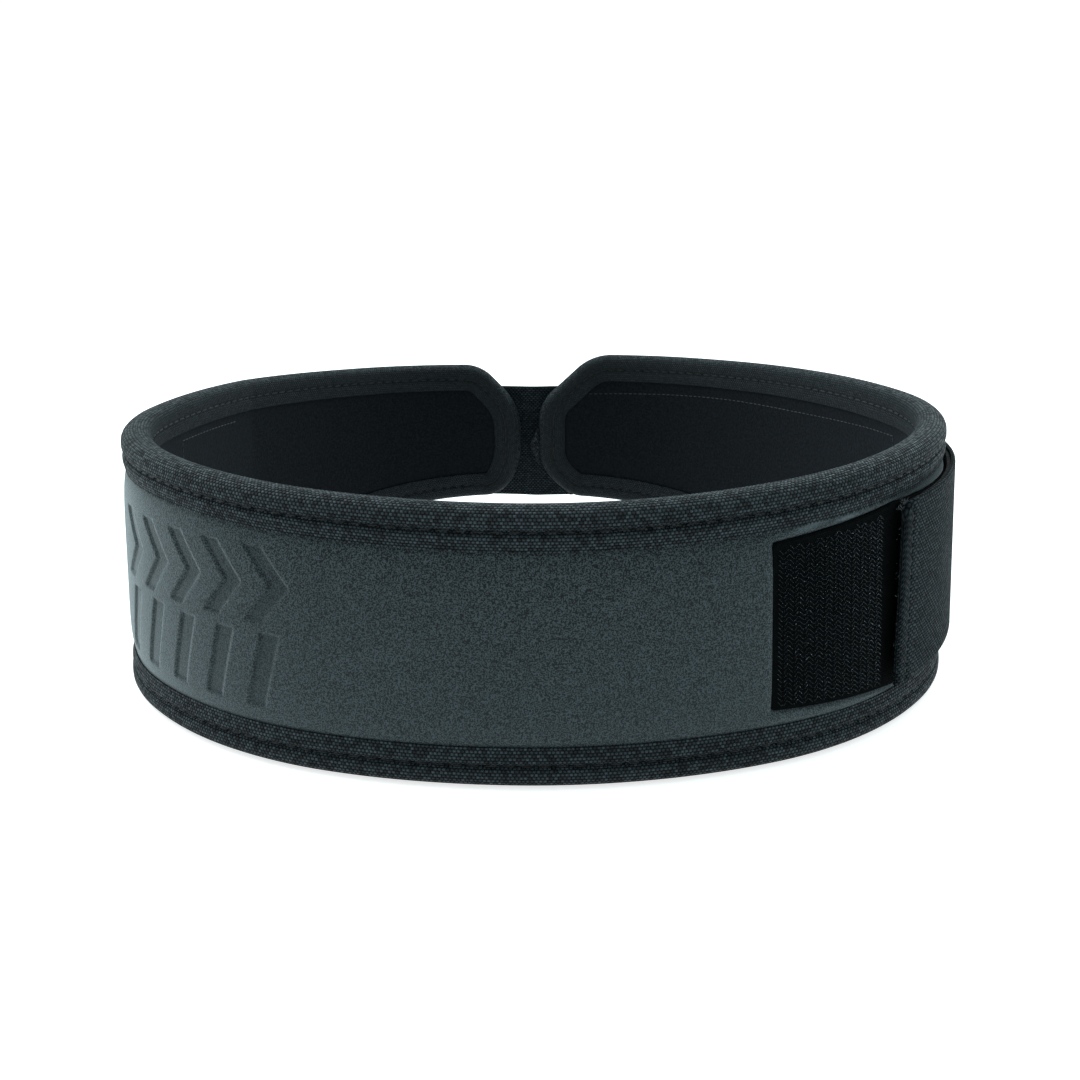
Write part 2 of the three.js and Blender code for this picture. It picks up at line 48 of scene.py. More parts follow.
# the belt's own sizes in mm; u runs along the wall from the near middle, positive to the
# right, z is height, o is the offset outwards from the middle of the wall
belt = {
    "length": 995.0,
    "nearMiddle": 0.4915,
    "height": 102.0,
    "endLift": 16.0,
    "hemFlare": 9.8,
    "clearance": 0.3,
    "shellThickness": 7.8,
    "liningThickness": 1.1,
    "tapeWall": 1.1,
    # share of each half's length, turn in degrees
    "rightBends": [(0.158, 18.7), (0.158, 32.4), (0.168, 48.7), (0.168, 17.8),
                   (0.168, 21.1), (0.18, 44.7)],
    "leftBends": [(0.158, 17.5), (0.158, 30.7), (0.168, 48.7), (0.158, 12.0), (0.006, 8.0),
                  (0.17, 22.5), (0.182, 51.7)],
    # place, top as a share of height, lift as a share of endLift, flare as a share of hemFlare
    "edgeRows": [(-1.0, 0.954, 1.0, 1.0), (-0.5, 1.05, 0.0, 0.65), (0.0, 0.956, 0.0, 1.0),
                 (0.5, 1.07, 0.0, 0.6), (1.0, 1.012, 1.0, 0.9)],
    # the ends' cut corners: lead-in radius, turn in degrees, straight cut, radius into the end
    "corners": {"rightTop": (30.0, 43.0, 20.0, 24.0), "rightLow": (17.0, 42.0, 5.0, 30.0),
                "leftLow": (17.0, 60.0, 0.0, 50.0), "leftTop": (22.0, 47.0, 9.0, 36.0)},
}
rightLength = belt["length"] * belt["nearMiddle"]
leftLength = belt["length"] - rightLength

coreHalf = (belt["shellThickness"] + belt["clearance"] + belt["liningThickness"]) / 2
shellInner = coreHalf - belt["shellThickness"]
tapeInside = coreHalf + belt["clearance"]
tapeOutside = tapeInside + belt["tapeWall"]


def ease(share):
    share = np.clip(share, 0.0, 1.0)
    return share * share * (3.0 - 2.0 * share)


def makeArcs(bends, length):
    arcs = []
    start, x, y, heading = 0.0, 0.0, 0.0, 0.0
    for share, turn in bends:
        reach = share * length
        bend = math.radians(turn) / reach
        arcs.append((start, x, y, heading, bend))
        after = heading + bend * reach
        x += (math.sin(after) - math.sin(heading)) / bend
        y -= (math.cos(after) - math.cos(heading)) / bend
        start, heading = start + reach, after
    return arcs


def alongHalf(arcs, distance):
    pick = np.searchsorted([arc[0] for arc in arcs], distance, side="right") - 1
    start, x, y, heading, bend = np.array(arcs)[np.clip(pick, 0, len(arcs) - 1)].T
    here = heading + bend * (distance - start)
    across, back = np.sin(here) - np.sin(heading), np.cos(here) - np.cos(heading)
    return x + across / bend, y - back / bend, here


rightArcs = makeArcs(belt["rightBends"], rightLength)
leftArcs = makeArcs(belt["leftBends"], leftLength)
rightTip = [float(v[0]) for v in alongHalf(rightArcs, np.array([rightLength]))]
leftTip = [float(v[0]) for v in alongHalf(leftArcs, np.array([leftLength]))]
leftTip = [-leftTip[0], leftTip[1], -leftTip[2]]
endGap = math.hypot(rightTip[0] - leftTip[0], rightTip[1] - leftTip[1])


def bridge(share):
    # smooth line over the gap between the ends
    ends = np.array([rightTip[:2], leftTip[:2]])
    first = ends[0] + np.array([math.cos(rightTip[2]), math.sin(rightTip[2])]) * endGap / 3
    last = ends[1] - np.array([math.cos(leftTip[2]), math.sin(leftTip[2])]) * endGap / 3
    t = np.asarray(share)[:, None]
    spot = ((1 - t) ** 3 * ends[0] + 3 * t * (1 - t) ** 2 * first
            + 3 * t * t * (1 - t) * last + t ** 3 * ends[1])
    way = (1 - t) ** 2 * (first - ends[0]) + 2 * t * (1 - t) * (last - first) + t * t * (ends[1] - last)
    return spot[:, 0], spot[:, 1], np.arctan2(way[:, 1], way[:, 0])


def wallPlace(u):
    u = np.asarray(u, dtype=float)
    flat = u.ravel()
    x, y, heading = alongHalf(rightArcs, np.clip(flat, 0, rightLength))
    xl, yl, hl = alongHalf(leftArcs, np.clip(-flat, 0, leftLength))
    left = flat < 0
    x, y, heading = np.where(left, -xl, x), np.where(left, yl, y), np.where(left, -hl, heading)
    over = flat > rightLength
    if over.any():
        x[over], y[over], heading[over] = bridge((flat[over] - rightLength) / endGap)
    return x.reshape(u.shape), y.reshape(u.shape), heading.reshape(u.shape)


def rowValue(rows, column, u):
    # value of a table's column along the wall, eased from row to row, and over the gap
    u = np.asarray(u, dtype=float)
    table = np.array(rows)
    place = np.where(u < 0, u / leftLength, u / rightLength)
    place = np.clip(place, -1, 1)
    nextRow = np.clip(np.searchsorted(table[:, 0], place), 1, len(table) - 1)
    before, after = table[nextRow - 1], table[nextRow]
    share = ease((place - before[..., 0]) / (after[..., 0] - before[..., 0]))
    value = before[..., column] + (after[..., column] - before[..., column]) * share
    gapShare = np.clip((u - rightLength) / endGap, 0, 1)
    return value + (table[0, column] - table[-1, column]) * gapShare


def topEdge(u):
    return belt["height"] * rowValue(belt["edgeRows"], 1, u)


def bottomEdge(u):
    return belt["endLift"] * rowValue(belt["edgeRows"], 2, u)


def cornerShape(name):
    # how far a cut corner runs along the edge and drops from it
    lead, turn, cut, nose = belt["corners"][name]
    bend = math.radians(turn)
    run = lead * math.sin(bend) + cut * math.cos(bend) + nose * (1 - math.sin(bend))
    drop = lead * (1 - math.cos(bend)) + cut * math.sin(bend) + nose * math.cos(bend)
    return {"lead": lead, "bend": bend, "nose": nose, "run": run, "drop": drop}


def cornerDrop(name, fromEnd, inset):
    # how much lower a layer lying inset from the rim ends, by its distance from the end
    c = cornerShape(name)
    leadRadius, noseRadius = c["lead"] - inset, c["nose"] - inset
    leadStart = c["run"] - leadRadius * math.sin(c["bend"])
    noseStop = c["nose"] - noseRadius * math.sin(c["bend"])
    leadDrop = c["lead"] - np.sqrt(np.clip(leadRadius ** 2 - (c["run"] - fromEnd) ** 2, 0, None))
    noseDrop = c["drop"] - np.sqrt(np.clip(noseRadius ** 2 - (c["nose"] - fromEnd) ** 2, 0, None))
    cutFrom = c["drop"] - math.sqrt(noseRadius ** 2 - (c["nose"] - noseStop) ** 2)
    cutTo = c["lead"] - leadRadius * math.cos(c["bend"])
    share = (fromEnd - noseStop) / max(leadStart - noseStop, 0.001)
    straight = cutFrom + (cutTo - cutFrom) * share
    return np.select([fromEnd >= c["run"], fromEnd >= leadStart, fromEnd <= noseStop],
                     [inset, leadDrop, noseDrop], straight)


def layerEdges(u, inset):
    # top and bottom of a layer lying inset from the rim
    fromEnd = np.minimum(rightLength - u, u + leftLength)
    top = np.where(u > 0, cornerDrop("rightTop", fromEnd, inset), cornerDrop("leftTop", fromEnd, inset))
    low = np.where(u > 0, cornerDrop("rightLow", fromEnd, inset), cornerDrop("leftLow", fromEnd, inset))
    return topEdge(u) - top, bottomEdge(u) + low


def rimDistance(u, z):
    # roughly how far a point lies from the nearest rim
    top, low = layerEdges(u, 0.0)
    return np.minimum(np.minimum(top - z, z - low), np.minimum(rightLength - u, u + leftLength))


def rawPoint(u, z, o):
    u, z, o = np.broadcast_arrays(np.asarray(u, float), np.asarray(z, float), np.asarray(o, float))
    x, y, heading = wallPlace(u)
    out = o + belt["hemFlare"] * rowValue(belt["edgeRows"], 3, u) * (1 - z / belt["height"])
    return np.stack([x + np.sin(heading) * out, y - np.cos(heading) * out, z], axis=-1)


# the binding's solid says where the wall stands in the frame
wallSample = np.linspace(-leftLength, rightLength, 900)
edgeSample = np.concatenate([rawPoint(wallSample, topEdge(wallSample) - 6, tapeOutside),
                             rawPoint(wallSample, bottomEdge(wallSample) + 6, tapeOutside)])
boxMiddle = np.mean(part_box("edge_binding"), axis=0)
sampleMiddle = (edgeSample.min(axis=0) + edgeSample.max(axis=0)) / 2 * mm
shift = (boxMiddle - sampleMiddle) * np.array([1.0, 1.0, 0.0])


def wallPoint(u, z, o):
    return rawPoint(u, z, o) * mm + shift


def wallFrame(u, z, o):
    # place and the directions along, up and out at each point
    here = wallPoint(u, z, o)
    along = wallPoint(u + 0.5, z, o) - wallPoint(u - 0.5, z, o)
    up = wallPoint(u, z + 0.5, o) - wallPoint(u, z - 0.5, o)
    along /= np.linalg.norm(along, axis=-1, keepdims=True)
    up /= np.linalg.norm(up, axis=-1, keepdims=True)
    return here, along, up, np.cross(along, up)


def waves(a, b, seed, length):
    # slow unevenness of hand-sewn cloth, between -1 and 1
    draw = np.random.default_rng(seed)
    total = 0.0
    for _ in range(6):
        turn, phase = draw.uniform(0, math.pi), draw.uniform(0, 2 * math.pi)
        wave = length * draw.uniform(0.7, 1.6)
        total = total + np.sin((a * math.cos(turn) + b * math.sin(turn)) * 2 * math.pi / wave + phase)
    return total / 6


print("wall ready")

# camera: a phone held low over the table, as the photograph has it
cameraSettings = {
    "focalPixels": 1100.0,      # of the photograph's 1080
    "framePixels": 1080.0,
    "sensor": 36.0,
    "beforeMiddle": 347.5,      # in front of the near wall, mm
    "leftOfMiddle": 9.8,
    "height": 195.2,
    "pitch": 0.307,
    "yaw": -0.015,
    "roll": -0.010,
}


def makeCamera():
    c = cameraSettings
    data = bpy.data.cameras.new("phone camera")
    data.sensor_width = c["sensor"]
    data.lens = c["sensor"] * c["focalPixels"] / c["framePixels"]
    data.clip_start = 0.01
    camera = bpy.data.objects.new("phone camera", data)
    bpy.context.scene.collection.objects.link(camera)
    spot = shift + np.array([-c["leftOfMiddle"], -c["beforeMiddle"], c["height"]]) * mm
    turn = (Matrix.Rotation(c["yaw"], 4, "Z") @ Matrix.Rotation(math.pi / 2 - c["pitch"], 4, "X")
            @ Matrix.Rotation(c["roll"], 4, "Z"))
    camera.matrix_world = Matrix.Translation(Vector(spot)) @ turn
    bpy.context.scene.camera = camera


makeCamera()
print("camera ready")


# meshes
def meshPiece(name, points, faces, uv=None, smooth=50):
    mesh = bpy.data.meshes.new(name)
    mesh.from_pydata(points.reshape(-1, 3).tolist(), [], faces)
    if uv is not None:
        layer = mesh.uv_layers.new(name="mm")
        layer.data.foreach_set("uv", np.asarray(uv, dtype=np.float32).ravel())
    mesh.polygons.foreach_set("use_smooth", [True] * len(mesh.polygons))
    mesh.set_sharp_from_angle(angle=math.radians(smooth))
    piece = bpy.data.objects.new(name, mesh)
    bpy.context.scene.collection.objects.link(piece)
    return piece


def loftPiece(name, rings, along, around, loop=False, smooth=50):
    # rings[station, point, xyz] closed around; along and around are the cloth's own mm
    count, size = rings.shape[:2]
    spans = count if loop else count - 1
    here = np.arange(spans)[:, None]
    side = np.arange(size)[None, :]
    there, nextSide = (here + 1) % count, (side + 1) % size
    corners = [here * size + side, here * size + nextSide, there * size + nextSide, there * size + side]
    quads = np.stack(np.broadcast_arrays(*corners), axis=-1).reshape(-1, 4)
    sidePlus = side + 1
    u0, u1 = along[here], along[here + 1]
    v0, v1 = around[side], around[sidePlus]
    pairs = [(u0, v0), (u0, v1), (u1, v1), (u1, v0)]
    uv = np.stack([np.stack(np.broadcast_arrays(a, b), axis=-1) for a, b in pairs], axis=2)
    uv = uv.reshape(-1, 4, 2)
    flat = rings.reshape(-1, 3)
    a, b, c, d = (flat[quads[:, k]] for k in range(4))
    volume = (np.einsum("ij,ij->i", a, np.cross(b, c)) + np.einsum("ij,ij->i", a, np.cross(c, d))).sum()
    if volume < 0:
        quads, uv = quads[:, ::-1], uv[:, ::-1]
    faces = quads.tolist()
    uvs = uv.reshape(-1, 2)
    if not loop:
        first, last = np.arange(size), (count - 1) * size + np.arange(size)
        caps = [first[::-1] if volume > 0 else first, last if volume > 0 else last[::-1]]
        faces += [cap.tolist() for cap in caps]
        uvs = np.concatenate([uvs, np.zeros((2 * size, 2))])
    return meshPiece(name, flat, faces, uvs, smooth)


def scatterPiece(name, template, faces, here, axes, smooth=60):
    # many copies of a small form as one mesh: template[k, (along, up, out)] in mm, or one each
    template = np.broadcast_to(template, (len(here),) + template.shape[-2:])
    points = here[:, None, :] + mm * sum(template[..., k:k + 1] * axes[k][:, None, :] for k in range(3))
    step = template.shape[1]
    allFaces = [[index + copy * step for index in face] for copy in range(len(here)) for face in faces]
    return meshPiece(name, points, allFaces, None, smooth)


def bead(length, width, height, sides=6, rings=5):
    # a short plump thread lying along
    points, faces = [], []
    for ring in range(rings):
        t = ring / (rings - 1) * 2 - 1
        size = math.sqrt(max(1 - t * t, 0.02))
        for side in range(sides):
            angle = 2 * math.pi * side / sides
            sideways, upwards = math.cos(angle) * width / 2 * size, math.sin(angle) * height / 2 * size
            points.append((t * length / 2, sideways, upwards))
    for ring in range(rings - 1):
        for side in range(sides):
            nextSide = (side + 1) % sides
            faces.append([ring * sides + side, ring * sides + nextSide,
                          (ring + 1) * sides + nextSide, (ring + 1) * sides + side])
    faces.append(list(range(sides))[::-1])
    faces.append([(rings - 1) * sides + side for side in range(sides)])
    return np.array(points), faces


# materials
def linear(hexColour):
    values = [int(hexColour[k:k + 2], 16) / 255 for k in (1, 3, 5)]
    return [v / 12.92 if v <= 0.04045 else ((v + 0.055) / 1.055) ** 2.4 for v in values] + [1.0]


def fillSockets(node, sockets):
    # by name or number: a plain value, another node's output, or a node for its first output
    for socket, value in sockets.items():
        if isinstance(value, bpy.types.Node):
            value = value.outputs[0]
        if isinstance(value, bpy.types.NodeSocket):
            node.id_data.links.new(value, node.inputs[socket])
        else:
            node.inputs[socket].default_value = value


def addNode(tree, kind, sockets=None, stops=(), **settings):
    # one node with its own settings, what goes into its sockets, and a ramp's stops
    node = tree.nodes.new("ShaderNode" + kind)
    for name, value in settings.items():
        setattr(node, name, value)
    fillSockets(node, sockets or {})
    for index, (position, hexColour) in enumerate(stops):
        node.color_ramp.elements[index].position = position
        node.color_ramp.elements[index].color = linear(hexColour)
    return node


def newMaterial(name, look):
    material = bpy.data.materials.new(name)
    material.use_nodes = True
    shader = material.node_tree.nodes["Principled BSDF"]
    fillSockets(shader, {
        "Base Color": linear(look["base"]),
        "Roughness": look["roughness"],
        "Specular IOR Level": look.get("specular", 0.5),
        "Sheen Weight": look.get("sheen", 0.0),
        "Sheen Roughness": 0.4,
        "Sheen Tint": linear(look.get("sheenHex", "#ffffff")),
    })
    return material, material.node_tree, shader


def surfaceGrain(tree, grain, detail=2.0):
    # soft mottling with spots about grain mm across
    place = addNode(tree, "TexCoord").outputs["Object"]
    return addNode(tree, "TexNoise", {"Vector": place, "Scale": 1 / (grain * mm), "Detail": detail})


def wovenThreads(tree, pitches):
    # plump threads in staggered rows, from the cloth's own mm; gives their height and a tone for each
    cloth = addNode(tree, "SeparateXYZ", {0: addNode(tree, "UVMap", uv_map="mm")})
    across = addNode(tree, "Math", {0: cloth.outputs[1], 1: pitches[1]}, operation="DIVIDE")
    row = addNode(tree, "Math", {0: across}, operation="FLOOR")
    oddRow = addNode(tree, "Math", {0: row, 1: 2.0}, operation="FLOORED_MODULO")
    stagger = addNode(tree, "Math", {0: oddRow, 1: 0.5}, operation="MULTIPLY")
    inRow = addNode(tree, "Math", {0: cloth.outputs[0], 1: pitches[0]}, operation="DIVIDE")
    along = addNode(tree, "Math", {0: inRow, 1: stagger}, operation="ADD")
    arches = []
    for way, roundness in ((along, 0.5), (across, 0.4)):
        turn = addNode(tree, "Math", {0: way, 1: math.pi}, operation="MULTIPLY")
        wave = addNode(tree, "Math", {0: turn}, operation="SINE")
        arch = addNode(tree, "Math", {0: wave}, operation="ABSOLUTE")
        arches.append(addNode(tree, "Math", {0: arch, 1: roundness}, operation="POWER"))
    height = addNode(tree, "Math", {0: arches[0], 1: arches[1]}, operation="MULTIPLY")
    inLine = addNode(tree, "Math", {0: along}, operation="FLOOR")
    thread = addNode(tree, "CombineXYZ", {0: inLine, 1: row})
    tone = addNode(tree, "TexWhiteNoise", {"Vector": thread}, noise_dimensions="2D")
    return height, tone


def makeBrushedKnit():
    # brushed polyester knit on foam: speckled charcoal, paler where it turns away, with real scuff
    # streaks;
    # painted light pales its lower part and painted shade darkens its sunk marks
    look = {
        "base": "#232b2f", "dark": "#020303", "light": "#3d484c", "pressedAndShaded": "#12181a",
        "scuffsAndBounce": "#76868b", "pressedAndShadedMost": 0.35, "scuffsAndBounceMost": 1.0, "grain": 0.48,
        "roughness": 0.85, "sheen": 0.55, "sheenHex": "#e4f2f5", "specular": 0.2,
    }
    material, tree, shader = newMaterial("brushed polyester knit", look)
    grain = surfaceGrain(tree, look["grain"])
    colour = addNode(tree, "ValToRGB", {0: grain}, stops=((0.455, look["dark"]), (0.56, look["light"])))
    # each layer mixes a colour in: painted shade in the sunk marks, and scuff streaks with painted light
    # paling the lower part
    for layer in ("pressedAndShaded", "scuffsAndBounce"):
        share = addNode(tree, "Attribute", attribute_name=layer).outputs["Fac"]
        amount = addNode(tree, "Math", {0: share, 1: look[layer + "Most"]}, operation="MULTIPLY")
        colour = addNode(tree, "Mix", {0: amount, 6: colour, 7: linear(look[layer])}, data_type="RGBA")
        colour = colour.outputs[2]
    fuzz = addNode(tree, "Bump", {"Height": grain, "Distance": 0.3 * mm, "Strength": 0.7})
    fillSockets(shader, {"Base Color": colour, "Normal": fuzz})
    return material


def makeLiningKnit():
    # fine knitted lining, near black with a trace of blue
    look = {"base": "#0a0f12", "dark": "#070a0d", "light": "#11171c", "grain": 1.1, "roughness": 0.95,
            "sheen": 0.1, "sheenHex": "#8fa2b0", "specular": 0.12}
    material, tree, shader = newMaterial("fine knit lining", look)
    grain = surfaceGrain(tree, look["grain"])
    colour = addNode(tree, "ValToRGB", {0: grain}, stops=((0.35, look["dark"]), (0.7, look["light"])))
    loops = addNode(tree, "Bump", {"Height": grain, "Distance": 0.25 * mm, "Strength": 0.6})
    fillSockets(shader, {"Base Color": colour, "Normal": loops})
    return material


def makeWovenTape(name, look):
    # woven ribbon: rows of small crossing threads, dark and dull between them, each with its own tone;
    # on the binding's inner side, inside the belt, painted shade darkens it and evens out its threads
    material, tree, shader = newMaterial(name, look)
    height, tone = wovenThreads(tree, look["pitches"])
    tones = addNode(tree, "Mix", {0: look["uneven"], 2: 1.0, 3: tone}, data_type="FLOAT")
    threads = addNode(tree, "Math", {0: height, 1: tones}, operation="MULTIPLY")
    # painted shade: toward the inner side the threads fade to an even dark tone
    inside = addNode(tree, "Attribute", attribute_name="inside").outputs["Fac"]
    insideShade = addNode(tree, "Math", {0: inside, 1: 0.75}, operation="MULTIPLY")
    shade = addNode(tree, "Mix", {0: insideShade, 2: threads, 3: 0.36}, data_type="FLOAT")
    colour = addNode(tree, "ValToRGB", {0: shade}, stops=((0.2, look["dark"]), (0.95, look["light"])))
    roughness = addNode(tree, "Mix", {0: shade, 2: 1.0, 3: look["roughness"]}, data_type="FLOAT")
    weave = addNode(tree, "Bump", {"Height": height, "Distance": look["bump"] * mm, "Strength": 1.0})
    fillSockets(shader, {"Base Color": colour, "Roughness": roughness, "Normal": weave})
    return material


def makeHookNylon():
    # moulded nylon hooks with painted glints: pale spots in the colour stand for hook ends catching
    # light
    look = {"base": "#20282b", "dark": "#242d31", "light": "#a4b5bb", "glintSpots": 0.7, "roughness": 0.25,
            "specular": 0.6}
    material, tree, shader = newMaterial("nylon hook tape", look)
    # painted highlights: the pale spots are glints
    glintSpots = surfaceGrain(tree, look["glintSpots"], 1.0)
    colour = addNode(tree, "ValToRGB", {0: glintSpots}, stops=((0.64, look["dark"]), (0.78, look["light"])))
    fillSockets(shader, {"Base Color": colour})
    return material


def makeFineGrained(name, look):
    # one plain colour with a fine relief: twisted thread, brushed loops, the peel of moulded plastic
    material, tree, shader = newMaterial(name, look)
    grain = surfaceGrain(tree, look["grain"], look.get("detail", 2.0))
    relief = addNode(tree, "Bump", {"Height": grain, "Distance": look["relief"] * mm,
                                    "Strength": look["strength"]})
    fillSockets(shader, {"Normal": relief})
    return material


knit = makeBrushedKnit()
liningKnit = makeLiningKnit()
# pitches of the threads along and across the cloth; the real ones are finer than a pixel, so each is
# drawn as coarse as it needs to show
bindingTape = makeWovenTape("nylon grosgrain binding", {
    "base": "#151a1c", "dark": "#010101", "light": "#3d4b51", "roughness": 0.45,
    "pitches": (1.4, 1.15), "uneven": 0.6, "specular": 0.18, "bump": 0.8})
webbing = makeWovenTape("nylon webbing", {
    "base": "#11171a", "dark": "#010202", "light": "#303c41", "roughness": 0.65,
    "pitches": (2.2, 1.2), "uneven": 0.4, "specular": 0.09, "bump": 0.8})
# sewing thread with a dull shine
sewingThread = {"roughness": 0.5, "specular": 0.4, "grain": 0.4, "relief": 0.1, "strength": 0.5}
blackThread = makeFineGrained("bonded nylon thread", {**sewingThread, "base": "#0a0c0d"})
greyThread = makeFineGrained("grey nylon thread", {**sewingThread, "base": "#3a4347"})
liningThread = makeFineGrained("dark grey nylon thread", {**sewingThread, "base": "#14191c"})
hookNylon = makeHookNylon()
# plain black ground cloth of the hook tape, faintly ribbed
hookGround = makeWovenTape("hook tape ground", {
    "base": "#040505", "dark": "#040606", "light": "#0d1012", "roughness": 0.85,
    "pitches": (0.9, 0.9), "uneven": 0.5, "specular": 0.03, "bump": 0.15})
# brushed nylon loops, soft black
loopPile = makeFineGrained("nylon loop pile", {
    "base": "#0c0f11", "roughness": 0.9, "sheen": 0.2, "specular": 0.15,
    "grain": 0.9, "detail": 4.0, "relief": 0.8, "strength": 1.0})
# satin black plastic with a faint orange peel
acetal = makeFineGrained("moulded acetal", {
    "base": "#131415", "roughness": 0.42, "grain": 1.5, "relief": 0.05, "strength": 0.4})
print("materials ready")


def finishPiece(piece, material, node=None):
    piece.data.materials.append(material)
    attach(piece, "root")
    if node:
        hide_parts(node)
    return piece


# the hook patch and the tape are needed by the cloth they press on
hookPatch = {
    "start": 73.0, "end": 228.0, "nearHeight": 60.0, "fullHeight": 70.0, "taper": 55.0, "low": 17.0,
    "tilt": 1.0, "border": 2.0, "sink": 1.3, "slopeOut": 0.3, "slope": 1.6,
    "ridge": 0.35, "ridgeOut": 3.0, "ridgeWidth": 1.8,
}
binding = {
    "depth": 15.0, "roll": 4.2, "groove": 8.2, "grooveDepth": 1.6, "grooveWidth": 1.0, "crest": 10.8,
    "bandDrop": 0.9, "grooveLevel": 0.2, "levelSlope": 1.5, "uneven": 0.1, "innerDent": 0.6,
    "needleHole": 0.7, "stitchPitch": 5.8, "stationsPerStitch": 4, "stitchLength": 4.4,
    "stitchWidth": 0.7,
}


def patchBand(u):
    share = np.clip((u - hookPatch["start"]) / hookPatch["taper"], 0, 1)
    height = hookPatch["nearHeight"] + (hookPatch["fullHeight"] - hookPatch["nearHeight"]) * share
    middle = hookPatch["low"] + hookPatch["fullHeight"] / 2 - hookPatch["tilt"] * (1 - share)
    margin = binding["depth"] + belt["clearance"]
    low = np.maximum(middle - height / 2, bottomEdge(u) + margin)
    return low, np.minimum(middle + height / 2, topEdge(u) - margin)


# padded shell: brushed knit over foam, pinched at the tape's edge, with two rows of pressed marks
shell = {
    "faceOffset": coreHalf - 0.5, "bulge": 1.9, "bulgeReach": 5.0, "inset": 2.9, "rows": 140,
    "marksFrom": -88.0, "markPitch": 19.0, "markCount": 5, "markStroke": 7.0, "rowHeight": 27.0,
    "marksLow": 22.0, "rowGap": 4.0, "pressDepth": 0.8, "pressEdge": 0.9,
    # bounceLitLow: painted light, how much paler the lower part is
    "uneven": 0.12, "unevenLength": 46, "bounceLitLow": 0.08, "streakShare": 0.4, "streakWidth": 0.9,
    # place, height, length and lean of the rubbed streaks
    "streaks": [(88, 85.5, 7, 0.25), (97, 87.5, 9, 0.3), (104, 86.0, 5, 0.1)],
}


def chevron(u, low):
    arm = (shell["markPitch"] - shell["markStroke"]) * 0.9
    tall, wide = shell["rowHeight"], shell["markStroke"]
    return [(u, low), (u + wide, low), (u + wide + arm, low + tall / 2), (u + wide, low + tall),
            (u, low + tall), (u + arm, low + tall / 2)]


def slantedBar(u, low):
    lean = shell["markPitch"] * 0.35
    tall, wide = shell["rowHeight"], shell["markStroke"]
    return [(u, low), (u + wide, low), (u + wide + lean, low + tall), (u + lean, low + tall)]


def insideDistance(a, b, corners):
    # distance to the outline, positive inside
    nearest = np.full(a.shape, 1e9)
    inside = np.zeros(a.shape, dtype=bool)
    for (x0, y0), (x1, y1) in zip(corners, corners[1:] + corners[:1]):
        dx, dy = x1 - x0, y1 - y0
        share = np.clip(((a - x0) * dx + (b - y0) * dy) / (dx * dx + dy * dy), 0, 1)
        nearest = np.minimum(nearest, np.hypot(a - x0 - share * dx, b - y0 - share * dy))
        crossing = (y0 > b) != (y1 > b)
        with np.errstate(divide="ignore", invalid="ignore"):
            inside ^= crossing & (a < dx * (b - y0) / (dy if dy else 1e-9) + x0)
    return np.where(inside, nearest, -nearest)


def pressedShare(u, z):
    # 1 inside the pressed marks, 0 outside, with a short slope between
    share = np.zeros(u.shape)
    for mark in range(shell["markCount"]):
        start = shell["marksFrom"] - shell["markPitch"] * (mark + 1)
        upper = shell["marksLow"] + shell["rowHeight"] + shell["rowGap"]
        near = (u > start - 3) & (u < start + shell["markPitch"] * 1.6)
        for corners in (chevron(start, upper), slantedBar(start, shell["marksLow"])):
            reach = insideDistance(u[near], z[near], corners)
            share[near] = np.maximum(share[near], ease(reach / shell["pressEdge"] + 0.5))
    return share


def scuffAndBounceShare(u, z):
    # faint scuff streaks above the hook patch, and painted light: the lower part a little paler, as if
    # lit from the table
    share = shell["bounceLitLow"] * (1 - z / belt["height"])
    for place, height, length, lean in shell["streaks"]:
        along = (u - place) / length
        across = (z - height - lean * (u - place)) / shell["streakWidth"]
        share += shell["streakShare"] * np.exp(-along ** 2 - across ** 2)
    return share


def shellFace(u, z):
    # offset of the outer cloth at each point
    swell = 1 - np.exp(-np.clip(rimDistance(u, z) - binding["depth"], 0, None) / shell["bulgeReach"])
    uneven = shell["uneven"] * waves(u, z, 3, shell["unevenLength"])
    face = shell["faceOffset"] + (shell["bulge"] + uneven) * swell
    # sunk where the hook patch presses it, with a low ridge below the patch
    low, high = patchBand(u)
    beside = np.maximum(np.maximum(low - z, z - high), hookPatch["start"] - u)
    ridge = np.exp(-((beside - hookPatch["ridgeOut"]) / hookPatch["ridgeWidth"]) ** 2)
    face += hookPatch["ridge"] * ridge * (z < low) * (u < hookPatch["end"])
    return face - hookPatch["sink"] * (1 - ease((beside + hookPatch["slopeOut"]) / hookPatch["slope"]))


def wallColumns(coarse, fine, fineFrom, fineTo, inset):
    left, right = -leftLength + inset, rightLength - inset
    return np.concatenate([np.arange(left, fineFrom, coarse), np.arange(fineFrom, fineTo, fine),
                           np.arange(fineTo, right, coarse), [right]])


def sharesAcross(nearEdge, inner):
    # stations across a cloth, closest together at both its edges
    edge = np.array([0.0, *nearEdge])
    return np.concatenate([edge, np.linspace(inner, 1 - inner, 24), 1 - edge[::-1]])


def ringLengths(rings):
    steps = np.linalg.norm(np.roll(rings, -1, axis=1) - rings, axis=-1).mean(axis=0) / mm
    return np.concatenate([[0], np.cumsum(steps)])


def layerGrid(columns, rows):
    # points of a layer between its top and bottom edges, and those edges
    top, low = layerEdges(columns, shell["inset"])
    z = top[:, None] + (low - top)[:, None] * np.linspace(0, 1, rows)[None, :]
    return np.broadcast_to(columns[:, None], z.shape), z, low, top


def addLayer(piece, name, values):
    layer = piece.data.attributes.new(name, "FLOAT", "POINT")
    layer.data.foreach_set("value", np.asarray(values, dtype=np.float32).ravel())


